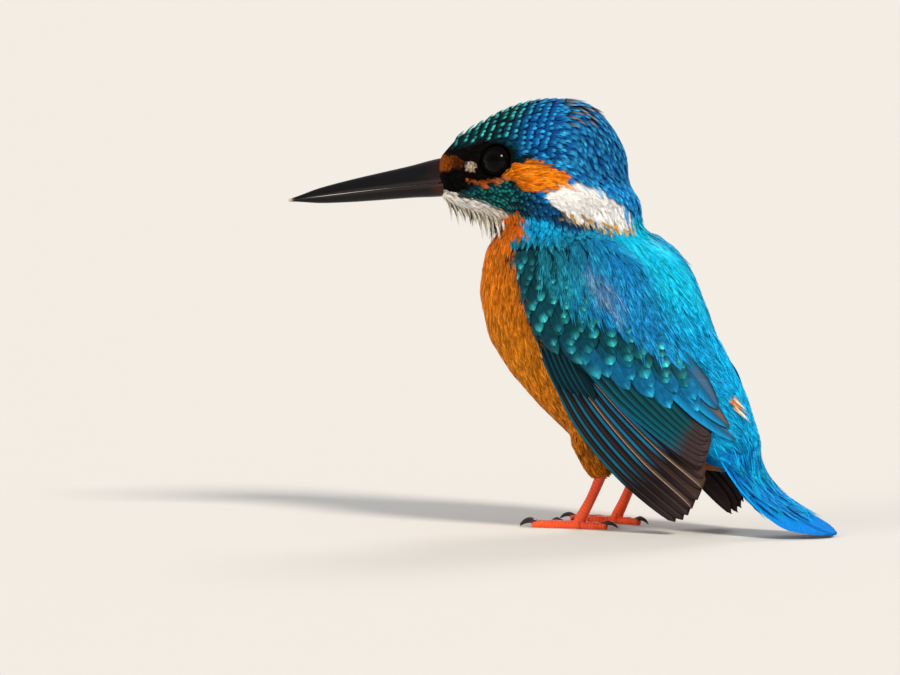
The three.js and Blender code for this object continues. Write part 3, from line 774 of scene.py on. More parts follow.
def slab_faces(rows, columns, flip=False):
    """Quads of a closed slab: a grid of points on top and the same again underneath."""
    count = rows * columns
    rim = np.concatenate([np.arange(columns), np.arange(1, rows) * columns + columns - 1,
                          count - 2 - np.arange(columns - 1), np.arange(rows - 2, 0, -1) * columns])
    follow = np.roll(rim, -1)
    a, b = (rim, follow) if flip else (follow, rim)
    return np.concatenate([grid_faces(rows, columns, flip), grid_faces(rows, columns, not flip) + count,
                           np.stack([a, b, b + count, a + count], 1)])


def search_tree(points):
    """A tree that finds the nearest of many points."""
    tree = KDTree(len(points))
    for i, p in enumerate(points):
        tree.insert(p, i)
    tree.balance()
    return tree


WING_TREE = BVHTree.FromPolygons([Vector(p) for p in GRID_POINTS],
                                 grid_faces(GRID_ROWS, GRID_COLUMNS).tolist())
WING_KD = search_tree(GRID_POINTS)


def wing_place(points):
    """Down, across and height over the wing's surface; the right wing counts as the left."""
    q = points * np.where(points[:, :1] < 0, [-1.0, 1, 1], [1.0, 1, 1])
    found = np.array([WING_KD.find(p)[1] for p in q])
    down, across = GRID_DOWN[found], GRID_ACROSS[found]
    normal = wing_out(down, across)
    off = q - wing_point(down, across, 0.0)
    height = (off * normal).sum(1)
    stray = np.linalg.norm(off - normal * height[:, None], axis=1)
    return down, across, height, stray


def covert_end(across):
    """How far down the wing the coverts reach."""
    return 0.37 + 0.43 * across


def secondary_end(across):
    """How far down the wing the secondaries and tertials reach."""
    return np.interp(across, [0, 0.45, 0.6, 0.8, 1.0], [0.45, 0.62, 0.86, 0.9, 0.95])


def wing_top(down, across):
    """Height of the solid wing under its visible feathers."""
    covered = ramp(down - covert_end(across), 0.02, -0.04)
    second = ramp(down - secondary_end(across), 0.02, -0.06)
    return layer_bottom(np.maximum(2 * covered, second), down, across) - 0.3


def wing_core(side, last):
    """A closed slab, in metres, that fills the wing under its feathers as far down as last."""
    rows, columns = 60, 40
    down, across = np.meshgrid(np.linspace(0.03, last, rows), np.linspace(0.04, 0.97, columns),
                               indexing="ij")
    upper = wing_point(down, across, wing_top(down, across))
    lower = wing_point(down, across, blend(-1.6, -0.2, ramp(down, 0.75, 0.95)))
    points = np.concatenate([upper.reshape(-1, 3), lower.reshape(-1, 3)]) * [side, 1, 1]
    faces = slab_faces(rows, columns)
    return to_frame(points), halved(faces if side > 0 else faces[:, ::-1])


# ------------------------------------------------------------------ skin

FLESH = ["trunk", "neck", "head", "thigh_left", "thigh_right"]
SKIN_VOXEL = 0.7


def coat_depth(points):
    """How deep the coat lies over the skin."""
    ahead, out, z = to_head(points)
    _, _, height, stray = wing_place(points)
    return layered(
        blend(1.05, 0.8, ramp(z, 72, 80)),
        (0.35, ramp(ahead, 12, 19) * ramp(z, 68, 74)),
        (0.3, ramp(eye_distance(ahead, z), 7.0, 4.4) * ramp(np.abs(out), 5, 8)),
        (0.4, ramp(z, 17, 12.5) * ramp(points[:, 1], 12, 8)),
        (0.1, ramp(points[:, 1], 33, 40)),
        (0.0, ramp(stray, 2.5, 1.0) * ramp(height, -0.4, 0.1) * ramp(height, 5, 4)))


def body_form(name, nodes, wing_end=None, fluff=0.0, aside=0.0):
    """The body's surface under the coat, with its normals kept as an attribute.

    It takes in the wings as far down as wing_end. fluff raises the rump between the wings,
    where the long soft feathers stand fullest, most of all a little to the right, by aside.
    """
    wings = [wing_core(side, wing_end) for side in SIDES.values()] if wing_end else []
    mesh = remeshed(name, [shape_of(frame["nodes"][node].data) for node in nodes] + wings, SKIN_VOXEL)
    smoothed(mesh, 6)
    places = points_of(mesh)
    inset = coat_depth(to_bird(places)) * MM
    move_points(mesh, places - normals_of(mesh) * inset[:, None])
    places = to_bird(points_of(mesh))
    x, y, z = np.abs(places[:, 0] + aside), places[:, 1], places[:, 2]
    back = ramp(y + 0.62 * z, 34.0, 38.0) * ramp(z, 20, 26) * ramp(z, 84, 78)
    thigh = ramp(z, 12.5, 15) * ramp(z, 27, 24) * ramp(y, 18, 14) * ramp(y, -12, -8)
    filled(mesh, np.maximum(back, thigh * 0.5) * 0.9, 70)
    if fluff:
        upward = ramp(normals_of(mesh) @ np.array([0, 0.8, 0.6]), -0.1, 0.5)
        rump = ramp(x, 10.5, 4.0) * ramp(z, 11, 20) * ramp(z, 56, 28) * ramp(y, 6, 14) * upward
        move_points(mesh, points_of(mesh) + normals_of(mesh) * (rump * fluff * MM)[:, None])
    smoothed(mesh, 3)
    put(mesh, "skin_normal", "FLOAT_VECTOR", normals_of(mesh))
    return mesh


def skin_tint(points):
    """The coat's colours in its shade; dark where the wing's feathers start."""
    base, _, _ = markings(points)
    x, y, z = np.abs(points[:, 0]), points[:, 1], points[:, 2]
    _, across, height, stray = wing_place(points)
    winged = ramp(stray, 3.0, 2.0) * ramp(height, -2.6, -1.8) * ramp(across, -0.05, 0.0)
    shoulder = ramp(y - shoulder_front(z), 0, 1) * ramp(x, 8, 9)
    winged = np.maximum(winged, shoulder * ramp(z, 61, 62))
    return blend(base, COVERT_DARK, winged * ramp(z, 68, 66)) * 0.7


skin_mesh = body_form("skin", FLESH, wing_end=0.7)
put(skin_mesh, "tint", "FLOAT_COLOR", with_alpha(skin_tint(to_bird(points_of(skin_mesh)))))
skin_mesh.materials.append(skin_material())
skin = make_object("skin", skin_mesh)
form = make_object("form", body_form("form", FLESH + ["tail"], wing_end=0.99, fluff=1.5))
low_form = make_object("low_form", body_form("low_form", FLESH + ["tail"], fluff=3.7, aside=2.5))


# ------------------------------------------------------------------ feather shapes for the coat
# In a feather's own measures x runs across the vane from -0.5 to 0.5, y from root to tip
# and z is its height over the skin, 1 at the coat's full height.


def lock_solid(root, rings, tip):
    """A closed sliver: points and triangles through three-sided rings from root to tip."""
    points = [root]
    for x, y, z, half, thick in rings:
        points += [(x - half, y, z), (x + half, y, z), (x, y, z + thick)]
    points.append(tip)
    last = len(points) - 1
    faces = [(0, 2, 1), (0, 3, 2), (0, 1, 3)]
    for r in range(len(rings) - 1):
        a, b = 1 + 3 * r, 4 + 3 * r
        for k in range(3):
            n = (k + 1) % 3
            faces += [(a + k, a + n, b + n), (a + k, b + n, b + k)]
    a = last - 3
    faces += [(a, a + 1, last), (a + 1, a + 2, last), (a + 2, a, last)]
    return points, faces


def feather_shape(name, seed, locks, rings, rounding, fray, fill):
    """A feather as a fan of barb locks, each a closed sliver, as a hidden mesh to repeat."""
    rng = np.random.default_rng(seed)
    half = fill / locks
    points, faces, shade = [], [], []
    for i in range(locks):
        t = 2 * i / (locks - 1) - 1 + rng.uniform(-0.3, 0.3) / locks
        reach = 1 - rounding * t * t - fray * rng.uniform(0, 1)
        stations = []
        for y in rings:
            x = 0.46 * t * ramp(y, -0.25, 0.8)
            z = (0.12 + 0.88 * y) * (1 - 0.16 * t * t) + rng.uniform(-0.05, 0.05)
            width = half * (0.55 + 0.45 * ramp(y, 0, 0.5)) * (1 - 0.35 * ramp(y, 0.7, 1.0))
            stations.append((x, y * reach, z, width, 0.1))
        end = (0.48 * t + rng.uniform(-0.5, 0.5) * half, reach,
               0.97 * (1 - 0.16 * t * t) + rng.uniform(-0.06, 0.06))
        new, tris = lock_solid((0.1 * t, 0, 0), stations, end)
        faces += [tuple(k + len(points) for k in tri) for tri in tris]
        points += new
        shade += [rng.uniform(0, 1)] * len(new)
    return template(name, np.array(points), faces, shade)


def vaned_shape(name, seed, rows, columns):
    """A firm feather as one closed, cambered vane with a finely notched edge."""
    rng = np.random.default_rng(seed)
    t, u = np.meshgrid(np.sin(np.linspace(0, math.pi / 2, rows)), np.linspace(-1, 1, columns),
                       indexing="ij")
    rounded = np.sqrt(np.clip(1 - np.clip((t - 0.62) / 0.38, 0, 1) ** 2.4, 0, 1))
    notch = rng.uniform(-0.02, 0.02, columns)[None] * ramp(t, 0.5, 1.0)
    x = 0.5 * u * ((0.45 + 0.55 * ramp(t, 0, 0.45)) * rounded + 0.02)
    y = t * (1 + notch) + 0.03 * (1 - u * u) * t
    z = 0.1 + 0.9 * t - 0.22 * u * u + rng.uniform(-0.03, 0.03, columns)[None] * ramp(t, 0.2, 0.6)
    top = np.stack([x, y, z], -1).reshape(-1, 3)
    shade = np.tile(rng.uniform(0.2, 0.8, columns), 2 * rows)
    return template(name, np.concatenate([top, top - [0, 0, 0.08]]), slab_faces(rows, columns, True), shade)


def template(name, points, faces, shade):
    """A feather to repeat, with its own measures and each lock's shade on it."""
    mesh = make_mesh(name, points, faces, metres=True)
    put(mesh, "vane", "FLOAT_VECTOR", points)
    put(mesh, "lock", "FLOAT", shade)
    return bpy.data.objects.new(name, mesh)


def feather_kind(name, count, shape, *sizes):
    """A collection of feathers of one kind, out of the scene, for the coat to pick from."""
    group = bpy.data.collections.new(name)
    for i in range(count):
        group.objects.link(shape(f"{name}_{i}", 100 + i, *sizes))
    return group


FANS = [  # name, how many, locks, stations along a lock, rounding, fray, fill
    ("body", 6, 17, (0.35, 0.74), 0.34, 0.30, 0.86),
    ("silky", 6, 19, (0.35, 0.74), 0.42, 0.38, 0.72),
    ("small", 5, 7, (0.5,), 0.26, 0.15, 0.9),
    ("spotted", 5, 10, (0.45, 0.8), 0.22, 0.10, 0.9),
    ("hairy", 6, 14, (0.4, 0.75), 0.35, 0.3, 0.8),
    ("plume", 5, 7, (0.35, 0.7), 0.55, 0.2, 0.75),
]
KINDS = {name: feather_kind(name, count, feather_shape, *sizes) for name, count, *sizes in FANS}
KINDS["covert"] = feather_kind("covert", 5, vaned_shape, 12, 11)


# ------------------------------------------------------------------ the tree that grows the coat


BAKE_PATCH = 0.003  # the share of the map one feather's length takes


def coat_tree():
    """Feathers on points, bent to lie along the body, as solid mesh.

    The points carry pick, turn, size, loose and bake_root; everything random was set with
    a fixed seed when they were made.
    """
    tree = bpy.data.node_groups.new("coat", "GeometryNodeTree")
    for name, kind in (("Geometry", "Geometry"), ("Feathers", "Collection"), ("Body", "Object"),
                       ("Plumage", "Material"), ("Bake Patch", "Float")):
        tree.interface.new_socket(name, in_out="INPUT", socket_type="NodeSocket" + kind)
    tree.interface.new_socket("Geometry", in_out="OUTPUT", socket_type="NodeSocketGeometry")
    given = add(tree, "NodeGroupInput")
    stored = {}
    for name, kind in (("pick", "INT"), ("turn", "QUATERNION"), ("size", "FLOAT_VECTOR"),
                       ("loose", "FLOAT"), ("bake_root", "FLOAT_VECTOR"), ("vane", "FLOAT_VECTOR"),
                       ("skin_normal", "FLOAT_VECTOR")):
        node = add(tree, "GeometryNodeInputNamedAttribute", {"data_type": kind, "Name": name})
        stored[name] = node.outputs["Attribute"]
    # Feathers of the wanted kind, planted and turned.
    shapes = add(tree, "GeometryNodeCollectionInfo", {"Separate Children": True, "Reset Children": True},
                 {"Collection": given.outputs["Feathers"]})
    planted = add(tree, "GeometryNodeInstanceOnPoints", {"Pick Instance": True},
                  {"Points": given.outputs["Geometry"], "Instance": shapes.outputs["Instances"],
                   "Instance Index": stored["pick"], "Rotation": stored["turn"], "Scale": stored["size"]})
    real = add(tree, "GeometryNodeRealizeInstances", links={"Geometry": planted.outputs["Instances"]})
    # Each point goes to the body's surface and out again by its height; loose ends stay free.
    body = add(tree, "GeometryNodeObjectInfo", {"transform_space": "ORIGINAL"},
               {"Object": given.outputs["Body"]})
    place = add(tree, "GeometryNodeInputPosition")
    near = add(tree, "GeometryNodeSampleNearestSurface", {"data_type": "FLOAT_VECTOR"},
               {"Mesh": body.outputs["Geometry"], "Value": place})
    out = add(tree, "GeometryNodeSampleNearestSurface", {"data_type": "FLOAT_VECTOR"},
              {"Mesh": body.outputs["Geometry"], "Value": stored["skin_normal"]})
    vane = add(tree, "SeparateXYZ", links={0: stored["vane"]})
    size = add(tree, "SeparateXYZ", links={0: stored["size"]})
    height = add(tree, "Math", {"operation": "MULTIPLY"}, {0: vane.outputs["Z"], 1: size.outputs["Z"]})
    away = add(tree, "VectorMath", {"operation": "NORMALIZE"}, {0: out.outputs["Value"]})
    outward = add(tree, "VectorMath", {"operation": "SCALE"}, {0: away, "Scale": height})
    laid = add(tree, "VectorMath", {"operation": "ADD"}, {0: near.outputs["Value"], 1: outward})
    loose = add(tree, "Math", {"operation": "MULTIPLY"}, {0: vane.outputs["Y"], 1: stored["loose"]})
    where = add(tree, "Mix", {"data_type": "VECTOR"},
                {0: loose, 4: laid, 5: place})
    bent = add(tree, "GeometryNodeSetPosition",
               links={"Geometry": real.outputs["Geometry"], "Position": where.outputs[1]})
    kept = add(tree, "GeometryNodeStoreNamedAttribute",
               {"data_type": "FLOAT_VECTOR", "domain": "POINT", "Name": "coat_normal"},
               {"Geometry": bent.outputs["Geometry"], "Value": out.outputs["Value"]})
    # The map: each feather a small patch round its root's place.
    shift = add(tree, "VectorMath", {"operation": "MULTIPLY_ADD", 1: (1, 1, 0), 2: (0, -0.5, 0)},
                {0: stored["vane"]})
    scaled = add(tree, "VectorMath", {"operation": "SCALE"},
                 {0: shift, "Scale": given.outputs["Bake Patch"]})
    spot = add(tree, "VectorMath", {"operation": "ADD"}, {0: scaled, 1: stored["bake_root"]})
    mapped = add(tree, "GeometryNodeStoreNamedAttribute",
                 {"data_type": "FLOAT2", "domain": "CORNER", "Name": "OFBake"},
                 {"Geometry": kept.outputs["Geometry"], "Value": spot})
    finish = add(tree, "GeometryNodeSetMaterial",
                 links={"Geometry": mapped.outputs["Geometry"], "Material": given.outputs["Plumage"]})
    add(tree, "NodeGroupOutput", links={"Geometry": finish.outputs["Geometry"]})
    return tree


COAT = coat_tree()


class Roots:
    """Where feathers are rooted, how they lie, how big they are and their colours."""

    def __init__(self, points, normals, lie):
        n = len(points)
        self.points, self.normals, self.lie = points, normals, lie
        self.width, self.length, self.height = np.full(n, 3.0), np.full(n, 6.0), np.full(n, 1.0)
        self.swing, self.loose, self.spot = np.zeros(n), np.zeros(n), np.zeros((n, 2))
        self.tint, self.tip, self.chart = np.ones((n, 3)), np.ones((n, 3)), np.zeros((n, 2))

    def set(self, **fields):
        """Sets fields, each to one value for all the feathers or one for each."""
        for field, values in fields.items():
            getattr(self, field)[...] = linear(values) if isinstance(values, str) else values
        return self

    def each(self, change):
        """New roots whose every field is what change makes of its name."""
        new = Roots(self.points, self.normals, self.lie)
        for field in vars(self):
            setattr(new, field, change(field))
        return new

    def only(self, keep):
        return self.each(lambda field: getattr(self, field)[keep])

    def joined(self, other):
        return self.each(lambda field: np.concatenate([getattr(self, field), getattr(other, field)]))


PIECES = []


def keep_piece(name, mesh, slot, replaces=(), made_of=None, tint=None):
    """Makes a piece of the model of a mesh, with a material and a colour for each point."""
    if tint is not None:
        put(mesh, "tint", "FLOAT_COLOR", with_alpha(tint))
    if made_of:
        mesh.materials.clear()
        mesh.materials.append(made_of)
    PIECES.append((make_object(name, mesh), slot, replaces))


def grow(name, kind, roots, made_of, slot, seed, replaces=(), body=form):
    """Grows feathers of a kind on roots and keeps them as a plain mesh piece."""
    n = len(roots.points)
    mesh = bpy.data.meshes.new(name + "_roots")
    mesh.vertices.add(n)
    move_points(mesh, to_frame(roots.points))
    put(mesh, "pick", "INT", np.random.default_rng(seed).integers(0, len(KINDS[kind].objects), n))
    put(mesh, "turn", "QUATERNION", turns(roots.lie, roots.normals, roots.swing))
    put(mesh, "size", "FLOAT_VECTOR", np.stack([roots.width, roots.length, roots.height], 1) * MM)
    put(mesh, "loose", "FLOAT", roots.loose)
    put(mesh, "tint", "FLOAT_COLOR", with_alpha(roots.tint))
    put(mesh, "tip", "FLOAT_COLOR", with_alpha(roots.tip))
    low, high = roots.chart.min(0), roots.chart.max(0)
    chart = 0.01 + 0.98 * (roots.chart - low) / (high - low).max()
    for field, pair in (("spot", roots.spot), ("bake_root", chart)):
        put(mesh, field, "FLOAT_VECTOR", np.concatenate([pair, np.zeros((n, 1))], 1))
    rooted = make_object(name + "_roots", mesh)
    grower = rooted.modifiers.new("coat", "NODES")
    grower.node_group = COAT
    sockets = {s.name: s.identifier for s in COAT.interface.items_tree if s.in_out == "INPUT"}
    for socket, value in (("Feathers", KINDS[kind]), ("Body", body), ("Plumage", made_of),
                          ("Bake Patch", BAKE_PATCH)):
        grower[sockets[socket]] = value
    made = plain_mesh(rooted)
    bpy.data.objects.remove(rooted)
    for spare in ("pick", "turn", "size", "loose", "bake_root"):
        if spare in made.attributes:
            made.attributes.remove(made.attributes[spare])
    made.shade_smooth()
    print(name, n, "feathers", len(made.polygons), "triangles")
    keep_piece(name, made, slot, replaces)


# ------------------------------------------------------------------ where feathers grow


SCATTER_TRIES = 14


def scattered(mesh, spacing, seed):
    """Points spread evenly over a mesh, at the spacing wanted at each place, and normals."""
    rng = np.random.default_rng(seed)
    places, tris = shape_of(mesh)
    co, no = to_bird(places), normals_of(mesh)
    a, b, c = co[tris[:, 0]], co[tris[:, 1]], co[tris[:, 2]]
    area = np.linalg.norm(np.cross(b - a, c - a), axis=1) / 2
    gap = spacing((a + b + c) / 3)
    weight = np.where(gap > 0, area / np.maximum(gap, 0.1) ** 2, 0)
    count = int(weight.sum() * SCATTER_TRIES)
    pick = rng.choice(len(tris), count, p=weight / weight.sum())
    u, v = rng.random(count), rng.random(count)
    u, v = np.where(u + v > 1, 1 - u, u), np.where(u + v > 1, 1 - v, v)
    shares = ((1 - u - v)[:, None], u[:, None], v[:, None])
    corners = tris[pick].T
    points = sum(co[corner] * share for corner, share in zip(corners, shares))
    normals = unit(sum(no[corner] * share for corner, share in zip(corners, shares)))
    gap = spacing(points)
    tree = search_tree(points)
    free, keep = gap > 0, np.zeros(count, bool)
    for i in range(count):
        if free[i]:
            keep[i] = True
            free[[j for _, j, _ in tree.find_range(points[i], gap[i])]] = False
    return points[keep], normals[keep]


def spine_chart(points):
    """The body unrolled round its spine: millimetres round and along it."""
    station = spine_station(points)
    off = points[:, 1:3] - SPINE[station]
    run = SPINE_RUN[station]
    dorsal = off[:, 0] * -run[:, 1] + off[:, 1] * run[:, 0]
    angle = np.arctan2(points[:, 0], dorsal)
    return np.stack([angle * 14, run_length(SPINE)[station] + (off * run).sum(1)], 1)


def head_chart(points):
    """The head unrolled from the bill backwards, all round."""
    ahead, out, z = to_head(points)
    way = unit(np.stack([ahead - 2, out, z - 84], 1))
    polar = np.arccos(np.clip(way[:, 0], -1, 1))
    side = np.arctan2(way[:, 1], way[:, 2])
    return np.stack([polar * np.sin(side), polar * np.cos(side)], 1)


WING_LENGTH = 75.0


def run_length(path):
    """How far each place of a path is along it."""
    return np.concatenate([[0], np.cumsum(np.linalg.norm(np.diff(path, axis=0), axis=1))])


def wing_chart(down, across):
    return np.stack([across * 28, down * WING_LENGTH], 1)


SCAPULAR_EDGE = [(0.0, 0.40), (0.14, 0.31), (0.225, 0.32), (0.33, 0.36), (0.41, 0.51),
                 (0.465, 0.64), (0.55, 0.78), (0.595, 0.88), (0.63, 1.02), (0.735, 1.15)]


def scapular_edge(down):
    d, a = np.array(SCAPULAR_EDGE).T
    return np.interp(down, d, a, right=2.0)


BREAST, BACK, SCAPULAR, HEAD, TAIL_OVER, TAIL_UNDER, FLANK = range(1, 8)  # tracts of feathers
RUMP_TOP = (31.0, 22.5)  # y and height of the place where the tail's feathers start


def low_down(points):
    """The rump, the thighs and the end of the belly, whose feathers pass under the folded wings."""
    y, z = points[:, 1], points[:, 2]
    return (z < 27) | ((y - spine_middle(z) > 3.0) & (z < 47))


def low_zones(points):
    """Tracts of the feathers that pass under the wings."""
    y, z = points[:, 1], points[:, 2]
    zone = np.where(y - spine_middle(z) > 3.0 - 8.0 * ramp(y, 22, 30), BACK, BREAST)
    run = unit(np.subtract(TAIL_PATH[1], TAIL_PATH[0]))
    behind, above = y - RUMP_TOP[0], z - RUMP_TOP[1]
    past = behind * run[0] + above * run[1] + 2.5 * np.sin(37 * points[:, 0] + 51 * z)
    over = behind * -run[1] + above * run[0]
    tail = past > 0
    zone[tail] = np.where(over[tail] > -2.8, TAIL_OVER, np.where(past[tail] < 9, TAIL_UNDER, 0))
    zone[tail & (past > 19)] = 0
    _, across, height, stray = wing_place(points)
    flank = (zones(points) == 0) & (across < 0.16) & (height < 0.3) & (stray < 6) & (z > 26) & (z < 66)
    return np.where(low_down(points), zone, np.where(flank, FLANK, 0))


def zones(points):
    """Which feather tract each place belongs to; 0 where none grow from here."""
    ahead, out, z = to_head(points)
    x, y = points[:, 0], points[:, 1]
    down, across, height, stray = wing_place(points)
    near = (stray < 1.7) & (height > -3.2) & (height < 5)
    on_wing = near & (height > -0.6) & (across > 0.0)
    under_wing = near & ~on_wing & (across > 0.14) & (across < 0.9) & (down > 0.15)
    zone = np.full(len(points), BREAST)
    zone[y - spine_middle(z) > 3.0] = BACK
    shoulder = (y > shoulder_front(z)) & (z > 62) & (np.abs(x) > 8)
    zone[shoulder] = np.where((z > 67.3) | (y - spine_middle(z) > 0.0), BACK, 0)[shoulder]
    scapular = (across > scapular_edge(down + 0.11)) & (down < 0.6)
    zone[on_wing & scapular] = SCAPULAR
    zone[on_wing & ~scapular] = 0
    zone[under_wing] = 0
    edge = near & (across > -0.03) & (down > 0.03) & ((height < 0.6) | (down > 0.45)) & (zone == BREAST)
    zone[edge] = 0
    neck_line = 71.0 + 1.2 * ramp(ahead, -4, 2) - 1.6 * ramp(ahead, -6, -12)
    zone[(z > neck_line) & (np.hypot(ahead - 2, out) < 32)] = HEAD
    zone[near & (down > 0.42) & (across < 0.96) & (zone != SCAPULAR)] = 0
    zone[low_down(points) & (zone != SCAPULAR)] = 0
    bill = (np.abs(out) < 4.4) & (ahead > 21.6) & (z > 76) & (z < 87)
    eye = (eye_distance(ahead, z) < 3.3) & (np.abs(out) > 6)
    zone[bill | eye] = 0
    return zone


def crown_here(points):
    """The front of the crown, whose barred feathers stand in rows."""
    ahead, _, z = to_head(points)
    return (z > crown_line(ahead) - 0.5) & (ahead > -4.5)


def root_gap(points):
    """Spacing of feather roots by place: smallest on the face."""
    ahead, out, z = to_head(points)
    y, out = points[:, 1], np.abs(out)
    on_head = ramp(z, 70.5, 73) * ramp(np.hypot(ahead - 2, out), 27, 24)
    return layered(
        1.3 + 0.1 * ramp(z, 60, 30),
        (1.25, on_head),
        (0.9, on_head * ramp(ahead, -10, 0)),
        (0.75, ramp(ahead, 3.5, 7) * ramp(z, 91, 89) * ramp(z, 75, 78)),
        (0.85, ramp(inside(EAR_PATCH, ahead, z), -1.0, -0.5) * (out > 4)),
        (0.85, ramp(inside(WHITE_PATCH, ahead, z), -2.6, -2.0) * (out > 6)),
        (1.1, ramp(y, 22, 28) * ramp(z, 34, 28)),
        (0.95, ramp(z, 18, 13) * ramp(y, 20, 14)))


def own_shade(rng, n, spread, low, high):
    """How bright each feather is beside the others."""
    return (1 + spread * rng.standard_normal(n))[:, None].clip(low, high)


def coloured(roots, rng, seen, zone):
    """Colours each feather from the markings where it shows, with painted shade at its root and its own
    shade.
    """
    base, light, barred = markings(seen)
    for tracts, (low, high) in (((BREAST, TAIL_UNDER, FLANK), orange_body(seen)),
                                ((SCAPULAR, TAIL_OVER, BACK), blue_body(seen))):
        here = np.isin(zone, tracts)[:, None]
        base, light = np.where(here, low, base), np.where(here, high, light)
    orange = np.isin(zone, (BREAST, FLANK))
    own = own_shade(rng, len(zone), np.where(orange, 0.14, 0.08), 0.6, 1.5)
    # Painted shade: each feather is darker at its root, where the feathers over it shade it; less so on
    # orange and pale ones.
    root_shadow = np.where(base.min(1) > 0.5, 0.92, np.where(orange, 0.78, 0.65))[:, None]
    plain = blend(base, light, rng.uniform(0.0, 0.9, len(zone)))
    bars = ((zone == HEAD) & (barred > 0.5))[:, None]
    roots.set(spot=bars * np.array([0.40, 0.36]), tint=np.where(bars, base, base * root_shadow) * own,
              tip=np.where(bars, light, plain) * own)


def planted(points, normals):
    return Roots(points, normals, lie_of(points, normals))


FEATHER_SIZES = {  # width, length and height of a feather, and how loose it is
    "breast": (2.7, 7.2, 0.6, 0.0), "belly": (2.6, 4.6, 0.6, 0.0), "thigh": (1.8, 3.8, 0.5, 0.3),
    "mantle": (2.4, 9.0, 0.8, 0.0), "rump": (2.4, 9.5, 1.1, 0.0), "shoulder": (1.9, 4.4, 0.8, 0.05),
    "scapular": (2.5, 10.0, 0.85, 0.0), "tail_over": (2.0, 12.0, 0.85, 0.0),
    "tail_under": (2.4, 6.0, 0.6, 0.0), "flank": (2.5, 6.5, 0.45, 0.0), "head": (1.6, 3.6, 0.6, 0.0),
    "nape": (1.8, 4.2, 0.75, 0.0), "cheek": (1.3, 3.0, 0.5, 0.0), "worn_crest": (1.0, 5.6, 0.95, 0.15),
    "ear": (1.4, 4.8, 0.5, 0.0), "ear_front": (1.2, 2.6, 0.4, 0.0), "white": (1.5, 6.2, 0.2, 0.0),
    "wisp": (0.65, 5.4, 0.45, 0.12), "throat": (1.3, 4.4, 0.3, 0.12), "face": (0.8, 1.5, 0.3, 0.0),
}


